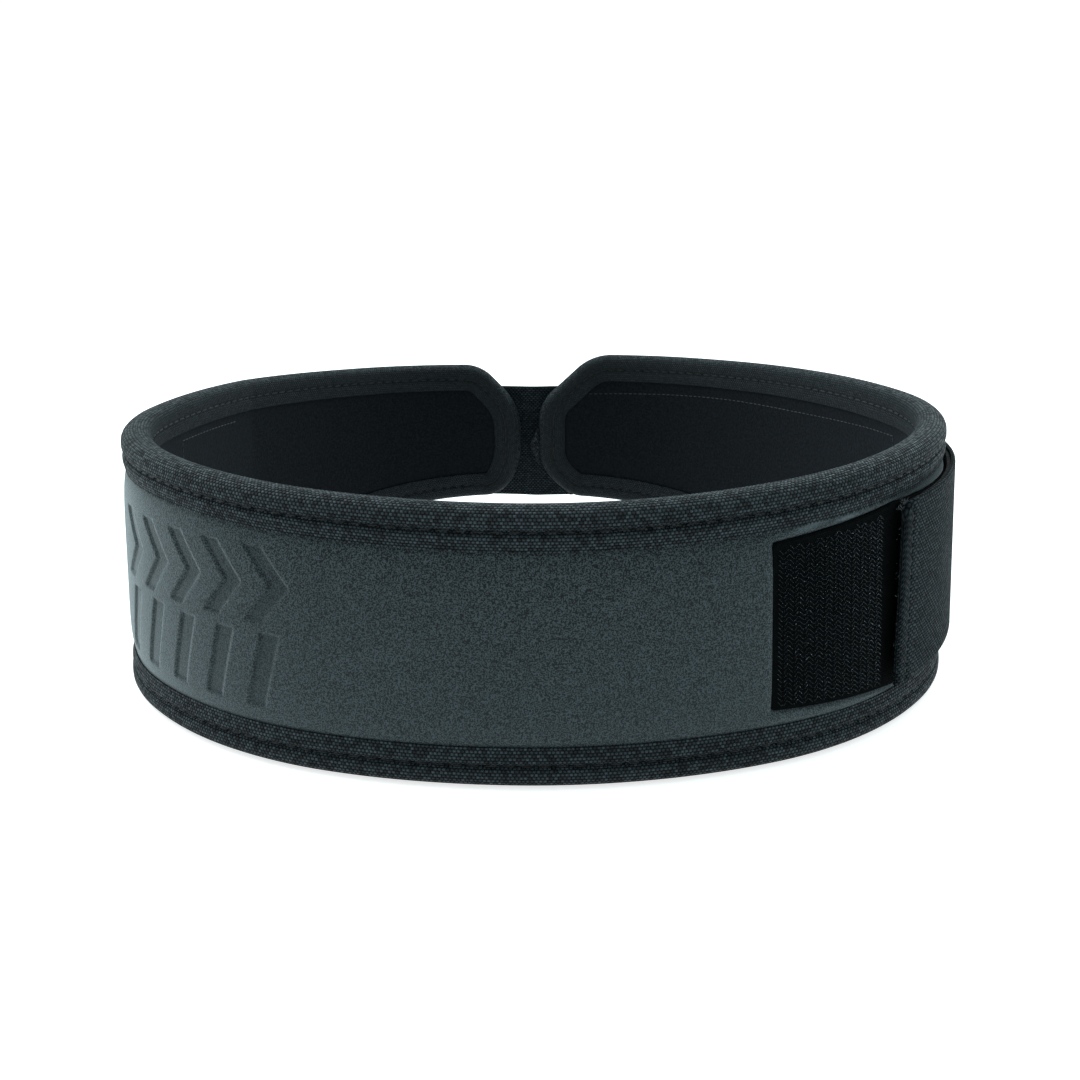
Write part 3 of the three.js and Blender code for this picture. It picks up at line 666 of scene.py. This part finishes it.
def makeShell():
    columns = wallColumns(2.0, 0.7, -190.0, -84.0, shell["inset"] + 0.1)
    u, z, low, top = layerGrid(columns, shell["rows"])
    # the marks' share sinks the cloth and also paints shade in them through the knit's colour
    pressedAndShaded = pressedShare(u, z)
    outer = wallPoint(u, z, shellFace(u, z) - pressedAndShaded * shell["pressDepth"])
    back = wallPoint(columns[:, None], np.stack([low, top], axis=1), shellInner)
    rings = np.concatenate([outer, back], axis=1)
    piece = loftPiece("foam_shell", rings, columns, ringLengths(rings))
    plain = np.zeros((len(columns), 2))
    addLayer(piece, "pressedAndShaded", np.concatenate([pressedAndShaded, plain], axis=1))
    # scuff streaks, and painted light that pales the lower part
    addLayer(piece, "scuffsAndBounce", np.concatenate([scuffAndBounceShare(u, z), plain], axis=1))
    return finishPiece(piece, knit, "padded_shell")


makeShell()
print("shell ready")

# lining: inner knit skin, eased over the foam
lining = {"inset": 0.6, "swell": 0.5, "swellReach": 8.0, "ripple": 0.15, "rippleLength": 60, "rows": 60}


def liningFace(u, z):
    swell = 1 - np.exp(-np.clip(rimDistance(u, z) - binding["depth"], 0, None) / lining["swellReach"])
    ripple = lining["ripple"] * waves(u, z, 8, lining["rippleLength"])
    return -coreHalf + lining["inset"] - (lining["swell"] + ripple) * swell


def makeLining():
    columns = wallColumns(2.5, 2.5, -100.0, 100.0, shell["inset"] + 0.1)
    u, z, low, top = layerGrid(columns, lining["rows"])
    back = wallPoint(columns[:, None], np.stack([low, top], axis=1), shellInner - belt["clearance"])
    rings = np.concatenate([wallPoint(u, z, liningFace(u, z)), back], axis=1)
    piece = loftPiece("knit_lining", rings, columns, ringLengths(rings))
    return finishPiece(piece, liningKnit, "lining")


makeLining()
print("lining ready")


# binding: one grosgrain tape folded over the whole rim and stitched through
def cornerPath(name, end, top):
    # the rim round one cut corner, from the long edge into the end
    c = cornerShape(name)
    side, down = (1 if end > 0 else -1), (-1 if top else 1)
    edge = topEdge if top else bottomEdge
    leadTurn = np.linspace(0, c["bend"], 12)[1:]
    noseTurn = np.linspace(c["bend"], math.pi / 2, 12)[:-1]
    turns = np.concatenate([leadTurn, noseTurn])
    fromEnd = np.concatenate([c["run"] - c["lead"] * np.sin(leadTurn),
                              c["nose"] * (1 - np.sin(noseTurn))])
    drop = np.concatenate([c["lead"] * (1 - np.cos(leadTurn)),
                           c["drop"] - c["nose"] * np.cos(noseTurn)])
    u = end - side * fromEnd
    return np.stack([u, edge(u) + down * drop, -side * np.sin(turns), down * np.cos(turns)], axis=1)


def rimPath():
    # u, z and the inward direction all round the rim, evenly spaced, a stitch every few stations
    def edgeRun(edge, name, inZ):
        left = -leftLength + cornerShape("left" + name)["run"]
        right = rightLength - cornerShape("right" + name)["run"]
        u = np.arange(left, right, 1.0)
        return np.stack([u, edge(u), 0 * u, 0 * u + inZ], axis=1)

    def endRun(end, name):
        high = float(topEdge(end)) - cornerShape(name + "Top")["drop"]
        low = float(bottomEdge(end)) + cornerShape(name + "Low")["drop"]
        z = np.linspace(high, low, 30)
        return np.stack([0 * z + end, z, 0 * z - (1 if end > 0 else -1), 0 * z], axis=1)

    right, left = rightLength, -leftLength
    path = np.concatenate([
        edgeRun(topEdge, "Top", -1), cornerPath("rightTop", right, True), endRun(right, "right"),
        cornerPath("rightLow", right, False)[::-1], edgeRun(bottomEdge, "Low", 1)[::-1],
        cornerPath("leftLow", left, False), endRun(left, "left")[::-1],
        cornerPath("leftTop", left, True)[::-1]])
    path = np.concatenate([path, path[:1]])
    lengths = np.concatenate([[0], np.cumsum(np.hypot(*np.diff(path[:, :2], axis=0).T))])
    stitches = round(lengths[-1] / binding["stitchPitch"])
    even = np.linspace(0, lengths[-1], stitches * binding["stationsPerStitch"] + 1)
    path = np.stack([np.interp(even, lengths, path[:, k]) for k in range(4)], axis=1)
    path[:, 2:] /= np.hypot(path[:, 2], path[:, 3])[:, None]
    return path[:-1], even


def tapeFace(depth):
    # the tape's outer offset by its depth from the rim: roll, stitched groove, crest, falling band
    roll = tapeOutside * np.sqrt(np.clip(1 - ((binding["roll"] - depth) / binding["roll"]) ** 2, 0, 1))
    afterGroove = binding["grooveLevel"] * ease((depth - binding["groove"]) / binding["levelSlope"])
    band = binding["depth"] - binding["crest"]
    fall = binding["bandDrop"] * ease((depth - binding["crest"]) / band)
    return np.where(depth < binding["roll"], roll, tapeOutside - afterGroove - fall)


def grooveAt(depth, narrow=1.0):
    return np.exp(-((depth - binding["groove"]) / (binding["grooveWidth"] * narrow)) ** 2)


def makeBinding(path, lengths):
    # where the tape's section is drawn, closest on the rim and in the groove
    depths = np.array([0, 0.12, 0.4, 0.9, 1.6, 2.5, 3.6, 4.8, 5.9, 6.7, 7.3, 7.8,
                       8.2, 8.6, 9.1, 9.7, 10.4, 11.4, 12.6, 13.8, 14.6, 14.9])
    face = tapeFace(depths)
    hole = (np.arange(len(path)) % binding["stationsPerStitch"] == 0)[:, None]
    hole = hole * binding["needleHole"] * grooveAt(depths, 0.6)
    dent = binding["grooveDepth"] * grooveAt(depths) + hole
    uneven = binding["uneven"] * waves(lengths[:-1, None], depths[None, :] * 4, 12, 55)
    hidden = np.array([(binding["depth"], tapeInside - 0.5), (3.2, tapeInside - 0.6)])
    depth = np.concatenate([depths, hidden[:, 0], hidden[::-1, 0], depths[:0:-1]])
    outer = face - dent + uneven
    inner = face - dent * binding["innerDent"] + uneven
    side = np.broadcast_to(hidden[:, 1], (len(path), 2))
    offset = np.concatenate([outer, side, -side[:, ::-1], -inner[:, :0:-1]], axis=1)
    offset[:, 0] = 0
    rings = wallPoint(path[:, 0:1] + path[:, 2:3] * depth, path[:, 1:2] + path[:, 3:4] * depth, offset)
    piece = loftPiece("edge_tape", rings, lengths, ringLengths(rings), loop=True, smooth=70)
    # 0 on the outside of the tape, rising to 1 on the inner side, where the tape's colour paints shade
    inside = np.concatenate([0 * depths, [0, 0, 1, 1], ease(depths[:0:-1] / 2.5)])
    addLayer(piece, "inside", np.broadcast_to(inside, (len(path), len(inside))))
    return finishPiece(piece, bindingTape, "edge_binding")


def makeSeamStitches(path):
    # one thread lying in the groove from needle hole to needle hole, on both sides
    stations = binding["stationsPerStitch"]
    middle = path[stations // 2::stations]
    depth = binding["groove"]
    u, z = middle[:, 0] + middle[:, 2] * depth, middle[:, 1] + middle[:, 3] * depth
    draw = np.random.default_rng(4)
    template, faces = bead(binding["stitchLength"], binding["stitchWidth"], 0.5)
    template = template * draw.uniform(0.93, 1.05, (len(middle), 1, 1))
    sides = (("outer_seam_stitches", 1, 1.0), ("inner_seam_stitches", -1, binding["innerDent"]))
    for name, side, dent in sides:
        offset = side * (float(tapeFace(depth)) - binding["grooveDepth"] * dent + 0.1)
        here, along, up, out = wallFrame(u, z, np.full(len(u), offset))
        run = along * middle[:, 3:4] - up * middle[:, 2:3]
        cross = along * middle[:, 2:3] + up * middle[:, 3:4]
        finishPiece(scatterPiece(name, template, faces, here, (run, cross, out)), blackThread)


rim, rimLengths = rimPath()
makeBinding(rim, rimLengths)
makeSeamStitches(rim)
print("binding ready")


# hook patch: woven ground with a plain border, and short slanting rows of hooks in a zigzag
hooks = {
    "ground": 5.0, "groundUnder": 0.9, "edgeLip": 0.3, "columnWidth": 2.0, "rowPitch": 1.7,
    "slant": 48.0, "strokeLength": 1.5, "perStroke": 3, "hooksStopAtShadow": 121.0, "width": 0.16,
    "peak": 0.12, "unevenPlace": 0.03,
}


def makeHookGround():
    start = hookPatch["start"]
    columns = np.concatenate([start + np.array([0, 0.15, 0.5, 1.2]),
                              np.arange(start + 2, hookPatch["end"], 2.0)])
    low, high = patchBand(columns)
    cut = 1.4 * np.clip(1 - (columns - start) / 1.2, 0, 1) ** 2
    low, high = low + cut, high - cut
    z = high[:, None] + (low - high)[:, None] * sharesAcross((0.004, 0.012, 0.03), 0.05)
    u = np.broadcast_to(columns[:, None], z.shape)
    fromEdge = np.minimum(np.minimum(high[:, None] - z, z - low[:, None]), u - start)
    face = hooks["ground"] - 0.5 * np.clip(1 - fromEdge / 0.4, 0, 1) ** 2
    face += hooks["edgeLip"] * np.exp(-((fromEdge - 0.7) / 0.5) ** 2)
    under = wallPoint(columns[:, None], np.stack([low, high], axis=1), coreHalf - hooks["groundUnder"])
    rings = np.concatenate([wallPoint(u, z, face), under], axis=1)
    piece = loftPiece("hook_ground", rings, columns, ringLengths(rings))
    return finishPiece(piece, hookGround, "hook_patch")


def hookTemplate():
    # a bent strip: up, over and back down a little, leaning along
    path = [(-0.2, 0.0), (-0.15, 0.55), (0.05, 0.85), (0.3, 0.8), (0.42, 0.5)]
    half = hooks["width"] / 2
    points, faces = [], []
    for along, rise in path:
        points += [(along, -half, rise), (along + 0.14, 0.0, rise + hooks["peak"]), (along, half, rise)]
    for first in range(0, 3 * len(path) - 3, 3):
        for side, nextSide in ((0, 1), (1, 2), (2, 0)):
            faces.append([first + side, first + nextSide, first + 3 + nextSide, first + 3 + side])
    last = len(points)
    return np.array(points), faces + [[2, 1, 0], [last - 3, last - 2, last - 1]]


def makeHooks():
    slant = math.radians(hooks["slant"])
    border, pitch = hookPatch["border"], hooks["columnWidth"]
    # the rows stop 3 mm short of the strap's free end, so the bare black ground there is the strap's
    # painted shadow
    columns = np.arange(hookPatch["start"] + border + pitch / 2, hooks["hooksStopAtShadow"], pitch)
    strokes = []
    for index, column in enumerate(columns):
        low, high = (float(v) for v in patchBand(column))
        lean = 1 if index % 2 else -1
        for height in np.arange(low + border + 0.6, high - border - 0.4, hooks["rowPitch"]):
            for step in range(hooks["perStroke"]):
                along = (step / (hooks["perStroke"] - 1) - 0.5) * hooks["strokeLength"]
                rise = along * math.sin(slant) * lean
                strokes.append((column + along * math.cos(slant), height + rise, lean))
    strokes = np.array(strokes)
    draw = np.random.default_rng(5)
    u = strokes[:, 0] + draw.normal(0, hooks["unevenPlace"], len(strokes))
    z = strokes[:, 1] + draw.normal(0, hooks["unevenPlace"], len(strokes))
    here, along, up, out = wallFrame(u, z, np.full(len(u), hooks["ground"] - 0.05))
    turn = strokes[:, 2] * slant + draw.normal(0, 0.08, len(u))
    way = along * np.cos(turn)[:, None] + up * np.sin(turn)[:, None]
    points, faces = hookTemplate()
    template = points * draw.uniform(0.85, 1.12, (len(u), 1, 1))
    piece = scatterPiece("hooks", template, faces, here, (way, np.cross(out, way), out))
    return finishPiece(piece, hookNylon)


makeHookGround()
makeHooks()
print("hook patch ready")

# closing strap: wide webbing from its sewn root, over the gap, round the buckle's bar and back
strap = {
    "width": 69.0, "thickness": 1.7, "gap": 0.15, "stationStep": 3.0, "root": 232.0, "freeEnd": 124.0,
    "endSlant": 3.5, "slantReach": 40.0, "corner": 7.0, "tip": 1.4,
    "hemLength": 9.0, "hemRise": 1.1, "hemSlope": 1.4, "hemSeam": 4.6, "seamSink": 0.4, "seamWidth": 0.9,
    "buckleAt": -354.0, "bar": 4.0, "window": 17.0, "barThickness": 3.0, "foldEase": 45.0,
    "anchorLength": 78.0, "edgeSeam": 3.0, "seamPitch": 3.0, "boxInset": 6.0,
    # place, lower edge as a share of width
    "rows": [(-1.0, 0.203), (-0.7, 0.29), (-0.5, 0.325), (0.25, 0.278), (0.45, 0.345), (0.7, 0.285),
             (1.0, 0.203)],
}
strapUnder = tapeOutside + strap["gap"]
strapOver = strapUnder + strap["thickness"] + strap["gap"]
barTop = strapOver + strap["barThickness"]
strapBarEdge = strap["buckleAt"] + strap["bar"]
anchorBarEdge = strapBarEdge + strap["window"]
anchorEnd = anchorBarEdge + strap["anchorLength"]


def strapLow(u):
    return strap["width"] * rowValue(strap["rows"], 1, u)


def overLift(u, barEdge, reach):
    # how far the upper run stands off the lower one near a bar
    away = np.abs(u - barEdge) - strap["bar"] - 1
    return (barTop + belt["clearance"] - strapOver) * (1 - ease(away / reach))


def barTurn(barEdge, towards):
    # the band's middle line round a bar, as u and offset
    angle = np.linspace(0, math.pi, 12)[1:-1]
    radius = strap["barThickness"] / 2 + belt["clearance"] + strap["thickness"] / 2
    return np.stack([barEdge + towards * radius * np.sin(angle),
                     (strapOver + barTop) / 2 - radius * np.cos(angle)], axis=1)


def bandPiece(name, stops, halfThickness, low, high, slant=0.0):
    # a webbing band with soft selvedges, its sections square to its own way along the wall
    share = sharesAcross((0.002, 0.006, 0.014), 0.03)
    toEdge = np.minimum(share, 1 - share) * strap["width"]
    plump = np.sqrt(1 - np.clip(1 - toEdge / 0.7, 0, 1) ** 2 * 0.9)
    middle = wallPoint(stops[:, 0], (low + high) / 2, stops[:, 1])
    side = np.cross(np.gradient(middle, axis=0), np.array([0.0, 0.0, 1.0]))
    side /= np.linalg.norm(side, axis=1, keepdims=True)
    slanted = stops[:, 0:1] + np.reshape(slant, (-1, 1)) * share
    base = wallPoint(slanted, low[:, None] + (high - low)[:, None] * share, stops[:, 1:2])
    lift = side[:, None, :] * (halfThickness[:, None] * plump)[:, :, None] * mm
    rings = np.concatenate([base + lift, (base - lift)[:, ::-1]], axis=1)
    lengths = np.concatenate([[0], np.cumsum(np.linalg.norm(np.diff(middle, axis=0), axis=1) / mm)])
    return loftPiece(name, rings, lengths, ringLengths(rings), smooth=40)


def runStops(places, offset):
    # u and offset along one run of a band
    return np.stack([places, offset + 0 * places], axis=1)


def freeEndStops():
    # over the folded hem to the free end: u, extra rise, rounding of the thickness and corner cut
    fromEnd = np.array([11, 10.4, 10, 9.6, 9.2, 8.8, 8.2, 7, 6.2, 5.6, 5.1, 4.6, 4.1, 3.6, 3, 2.2,
                        1.4, 1, 0.7, 0.45, 0.25, 0.12, 0.04, 0])
    rise = strap["hemRise"] * ease((strap["hemLength"] + 1 - fromEnd) / strap["hemSlope"])
    stitched = strap["seamSink"] * np.exp(-((fromEnd - strap["hemSeam"]) / strap["seamWidth"]) ** 2)
    tip = np.sqrt(np.clip(1 - np.clip(1 - fromEnd / strap["tip"], 0, 1) ** 2, 0.01, 1))
    radius = strap["corner"]
    cut = radius - np.sqrt(radius ** 2 - np.clip(radius - fromEnd, 0, None) ** 2)
    return strap["freeEnd"] + fromEnd, rise - stitched, tip, cut


def makeStrap():
    half, step = strap["thickness"] / 2, strap["stationStep"]
    left, gapEnd = -leftLength, rightLength + endGap
    under = np.concatenate([np.arange(strap["root"], gapEnd - 1, step),
                            np.arange(left, strapBarEdge, step)])
    turned = barTurn(strapBarEdge, 1)
    endPlaces, rise, tip, cut = freeEndStops()
    overLeft = np.arange(strapBarEdge, left, -step)
    overRight = np.arange(gapEnd - 1, endPlaces[0] + 1, -step)
    place = np.concatenate([overLeft, overRight, endPlaces])
    lift = overLift(overLeft, strapBarEdge, strap["foldEase"])
    over = runStops(place, strapOver + half + np.concatenate([lift, 0 * overRight, rise / 2]))
    stops = np.concatenate([runStops(under, strapUnder + half), turned, over])
    halves = np.full(len(stops), half)
    halves[-len(rise):] = (half + rise / 2) * tip
    low = strapLow(np.concatenate([under, np.full(len(turned), strapBarEdge), place]))
    high = low + strap["width"]
    high[-len(cut):] -= cut
    # the free end is cut a little off square
    slant = np.zeros(len(stops))
    nearEnd = np.clip(1 - (place - strap["freeEnd"]) / strap["slantReach"], 0, 1)
    slant[-len(over):] = strap["endSlant"] * nearEnd * (place > 0)
    piece = bandPiece("closing_webbing", stops, halves, low, high, slant)
    return finishPiece(piece, webbing, "closing_strap")


def makeAnchor():
    half, step = strap["thickness"] / 2, strap["stationStep"]
    under = np.arange(anchorEnd, anchorBarEdge, -step)
    over = np.append(np.arange(anchorBarEdge, anchorEnd - 5, step), anchorEnd - 4)
    turned = barTurn(anchorBarEdge, -1)
    lift = overLift(over, anchorBarEdge, strap["foldEase"] / 2)
    stops = np.concatenate([runStops(under, strapUnder + half), turned,
                            runStops(over, strapOver + half + lift)])
    low = strapLow(np.concatenate([under, np.full(len(turned), anchorBarEdge), over]))
    piece = bandPiece("anchor_webbing", stops, np.full(len(stops), half), low, low + strap["width"])
    return finishPiece(piece, webbing, "buckle_anchor")


def makeLoopPatch():
    # soft pile under the free end, uneven at its edges
    columns = np.arange(strap["freeEnd"] + 6, strap["root"] - 3, 2.0)
    low, high = strapLow(columns) + 2.5, strapLow(columns) + strap["width"] - 1.5
    z = high[:, None] + (low - high)[:, None] * np.linspace(0, 1, 30)[None, :]
    outer = wallPoint(columns[:, None], z, strapOver - 0.1 + 0 * z)
    draw = np.random.default_rng(9)
    back = wallPoint(columns[:, None], z[:, ::-1], 6.4 + 0.3 * draw.random(z.shape))
    rings = np.concatenate([outer, back], axis=1)
    piece = loftPiece("loop_patch_pile", rings, columns, ringLengths(rings))
    return finishPiece(piece, loopPile, "loop_patch")


makeStrap()
makeAnchor()
makeLoopPatch()
print("strap ready")


# stitches that hold the webbing: each row is a run of short threads between two places
def stitchRow(start, end, pitch, offset):
    # u, z, offset and direction of each stitch; offset is a number or a function of u and z
    start, end = np.array(start, dtype=float), np.array(end, dtype=float)
    count = max(int(round(np.hypot(*(end - start)) / pitch)), 1)
    share = (np.arange(count) + 0.5) / count
    spots = start + (end - start) * share[:, None]
    way = (end - start) / np.hypot(*(end - start))
    height = offset(spots[:, 0], spots[:, 1]) if callable(offset) else np.full(count, offset)
    return spots[:, 0], spots[:, 1], height, np.broadcast_to(way, spots.shape)


def alongStrap(fromU, toU, inStrap, pitch, offset):
    # a row that follows the strap's edge, in short straight lengths
    ends = np.linspace(fromU, toU, max(int(abs(toU - fromU) / 20), 1) + 1)
    heights = strapLow(ends) + inStrap
    return [stitchRow((ends[k], heights[k]), (ends[k + 1], heights[k + 1]), pitch, offset)
            for k in range(len(ends) - 1)]


def makeStitchRows(name, rows, length, width, thread, seed):
    u, z, offset = (np.concatenate([row[k] for row in rows]) for k in range(3))
    way = np.concatenate([row[3] for row in rows])
    draw = np.random.default_rng(seed)
    here, along, up, out = wallFrame(u, z, offset)
    run = along * way[:, 0:1] + up * way[:, 1:2]
    template, faces = bead(length, width, width * 0.7)
    template = template * draw.uniform(0.9, 1.08, (len(u), 1, 1))
    piece = scatterPiece(name, template, faces, here, (run, np.cross(out, run), out))
    return finishPiece(piece, thread)


def onLining(u, z):
    return liningFace(u, z) - 0.05


def makeWebbingStitches():
    width, edge, pitch = strap["width"], strap["edgeSeam"], strap["seamPitch"]
    rootFrom, rootTo = strap["root"] + edge, rightLength - 17
    anchorFrom, anchorTo = anchorBarEdge + 22, anchorEnd - edge
    rows = []
    for inStrap in (edge, width - edge):
        rows += alongStrap(rootFrom, rootTo, inStrap, pitch, onLining)
        rows += alongStrap(anchorFrom, anchorTo, inStrap, pitch, onLining)
    for place in (rootFrom, anchorTo):
        low = float(strapLow(place))
        rows.append(stitchRow((place, low + edge), (place, low + width - edge), pitch, onLining))
    makeStitchRows("lining_stitches", rows, 2.4, 0.45, liningThread, 21)

    hem = strap["freeEnd"] + strap["hemSeam"]
    low = float(strapLow(hem))
    hemFace = strapOver + strap["thickness"] + strap["hemRise"] - 0.3
    hemTop = (hem + strap["endSlant"] * 0.85, low + width - 4)
    hemRow = stitchRow((hem, low + edge), hemTop, 4.2, hemFace)
    makeStitchRows("hem_stitches", [hemRow], 2.5, 0.6, blackThread, 22)

    # a sewn box with a cross in it holds the anchor
    boxFrom, boxTo, inset = anchorBarEdge + 30, anchorEnd - 9, strap["boxInset"]
    lowFrom, lowTo = float(strapLow(boxFrom)), float(strapLow(boxTo))
    corners = [(boxFrom, lowFrom + inset), (boxTo, lowTo + inset),
               (boxTo, lowTo + width - inset), (boxFrom, lowFrom + width - inset)]
    lines = [(0, 1), (1, 2), (2, 3), (3, 0), (0, 2), (1, 3)]
    anchorFace = strapOver + strap["thickness"]
    box = [stitchRow(corners[a], corners[b], pitch, anchorFace) for a, b in lines]
    makeStitchRows("anchor_stitches", box, 2.4, 0.6, blackThread, 23)


def makeFrayedThreads():
    # loose webbing threads at the free end's upper corner, and a few along its cut edge
    draw = np.random.default_rng(31)
    count = 46
    atCorner = np.arange(count) < 30
    top = float(strapLow(strap["freeEnd"])) + strap["width"]
    u = strap["freeEnd"] + np.where(atCorner, draw.uniform(0, 5, count), 0.2)
    cornerHeight = top - np.clip(3.2 - (u - strap["freeEnd"]), 0, None) * 0.8
    z = np.where(atCorner, cornerHeight, draw.uniform(22, top - 5, count))
    here, along, up, out = wallFrame(u, z, draw.uniform(strapOver + 0.5, strapOver + 2.6, count))
    angle = np.where(atCorner, draw.uniform(1.1, 2.9, count), draw.uniform(2.6, 3.7, count))
    run = along * np.cos(angle)[:, None] + up * np.sin(angle)[:, None]
    run = run + out * draw.uniform(-0.2, 0.5, count)[:, None]
    run /= np.linalg.norm(run, axis=1, keepdims=True)
    side = np.cross(out, run)
    side /= np.linalg.norm(side, axis=1, keepdims=True)
    template, faces = bead(1.0, 0.16, 0.16, sides=4, rings=6)
    template = template + np.array([0.5, 0.0, 0.0])
    template = np.stack([template] * count)
    template[:, :, 1] += draw.uniform(-0.3, 0.3, count)[:, None] * template[:, :, 0] ** 2
    template[:, :, 0] *= draw.uniform(0.7, 2.2, count)[:, None]
    axes = (run, side, np.cross(run, side))
    return finishPiece(scatterPiece("frayed_threads", template, faces, here, axes), greyThread)


makeWebbingStitches()
makeFrayedThreads()
print("stitches ready")

# tape lap: small folded diamond where the binding's ends meet
lap = {"reach": 6.0, "height": 26.0, "low": 35.0, "tip": 2.0, "thin": 0.45, "squareness": 0.7}


def makeTapeLap():
    share = np.array([0, 0.1, 0.25, 0.5, 0.75, 0.9, 0.97, 1.0])
    u = rightLength + belt["clearance"] + lap["reach"] * share
    half = lap["height"] / 2 + (lap["tip"] / 2 - lap["height"] / 2) * share
    half[-1] *= 0.4
    thick = belt["tapeWall"] * (1 - lap["thin"] * share ** 3)
    angle = np.linspace(0, 2 * math.pi, 25)[:-1]
    ways = np.stack([np.cos(angle), np.sin(angle)])
    upward, outward = np.sign(ways) * np.abs(ways) ** lap["squareness"]
    z = lap["low"] + lap["height"] / 2 + half[:, None] * upward
    rings = wallPoint(u[:, None] + 0 * z, z, thick[:, None] * outward)
    piece = loftPiece("folded_tape_lap", rings, u, ringLengths(rings))
    return finishPiece(piece, bindingTape, "tape_lap")


def dressBuckle():
    # the buckle's own solid stays and gets its plastic
    solid = bpy.data.objects["slide_buckle"]
    solid.data.materials.clear()
    solid.data.materials.append(acetal)


makeTapeLap()
dressBuckle()
print("small pieces ready")

# table and light: a white sweep under open soft light that also glows by itself, painted light that
# fills its shadows, a soft box behind and to the left, and a dark card behind the camera that keeps the
# near faces deep
studio = {
    "floor": "#cfd2d2", "glow": 0.74, "world": 1.3, "sky": "#e6fbff",
    "card": "#050505", "cardPlace": (0.0, -1.3, 0.9), "cardSize": (3.4, 1.8),
    # power, size in metres and place of each lamp
    "lamps": {"soft box above left": (14.0, 1.2, (-0.9, 0.5, 1.1)),
              "soft box behind right": (7.0, 1.0, (0.8, 0.9, 0.9))},
}


def stagePlane(name, hexColour, place, size, upright=False):
    turn = (math.pi / 2 if upright else 0, 0, 0)
    bpy.ops.mesh.primitive_plane_add(size=1, location=place, rotation=turn)
    plane = bpy.context.object
    plane.name = name
    plane.scale = (size[0], size[1], 1)
    material, tree, shader = newMaterial(name, {"base": hexColour, "roughness": 0.8, "specular": 0.2})
    plane.data.materials.append(material)
    return plane, shader


def softBox(name, power, size, spot):
    data = bpy.data.lights.new(name, "AREA")
    data.energy = power
    data.size = size
    lamp = bpy.data.objects.new(name, data)
    bpy.context.scene.collection.objects.link(lamp)
    lamp.location = spot
    lamp.rotation_euler = (Vector((0, 0, 0.05)) - Vector(spot)).to_track_quat("-Z", "Y").to_euler()


def makeStudio():
    # a table that glows by itself: painted light, so that hardly any shadow shows on it and its glow
    # lights the belt from below
    table, top = stagePlane("white table", studio["floor"], (0, 0, 0), (12, 12))
    # painted light: the table's own glow fills the shadow under the belt
    fillSockets(top, {"Emission Color": (1, 1, 1, 1), "Emission Strength": studio["glow"]})
    card, _ = stagePlane("dark card", studio["card"], studio["cardPlace"], studio["cardSize"], True)
    card.visible_camera = False
    world = bpy.data.worlds.new("white studio")
    bpy.context.scene.world = world
    world.use_nodes = True
    fillSockets(world.node_tree.nodes["Background"],
                {"Color": linear(studio["sky"]), "Strength": studio["world"]})
    for name, (power, size, spot) in studio["lamps"].items():
        softBox(name, power, size, spot)
    bpy.context.scene.view_settings.view_transform = "Standard"


makeStudio()
print("studio ready")
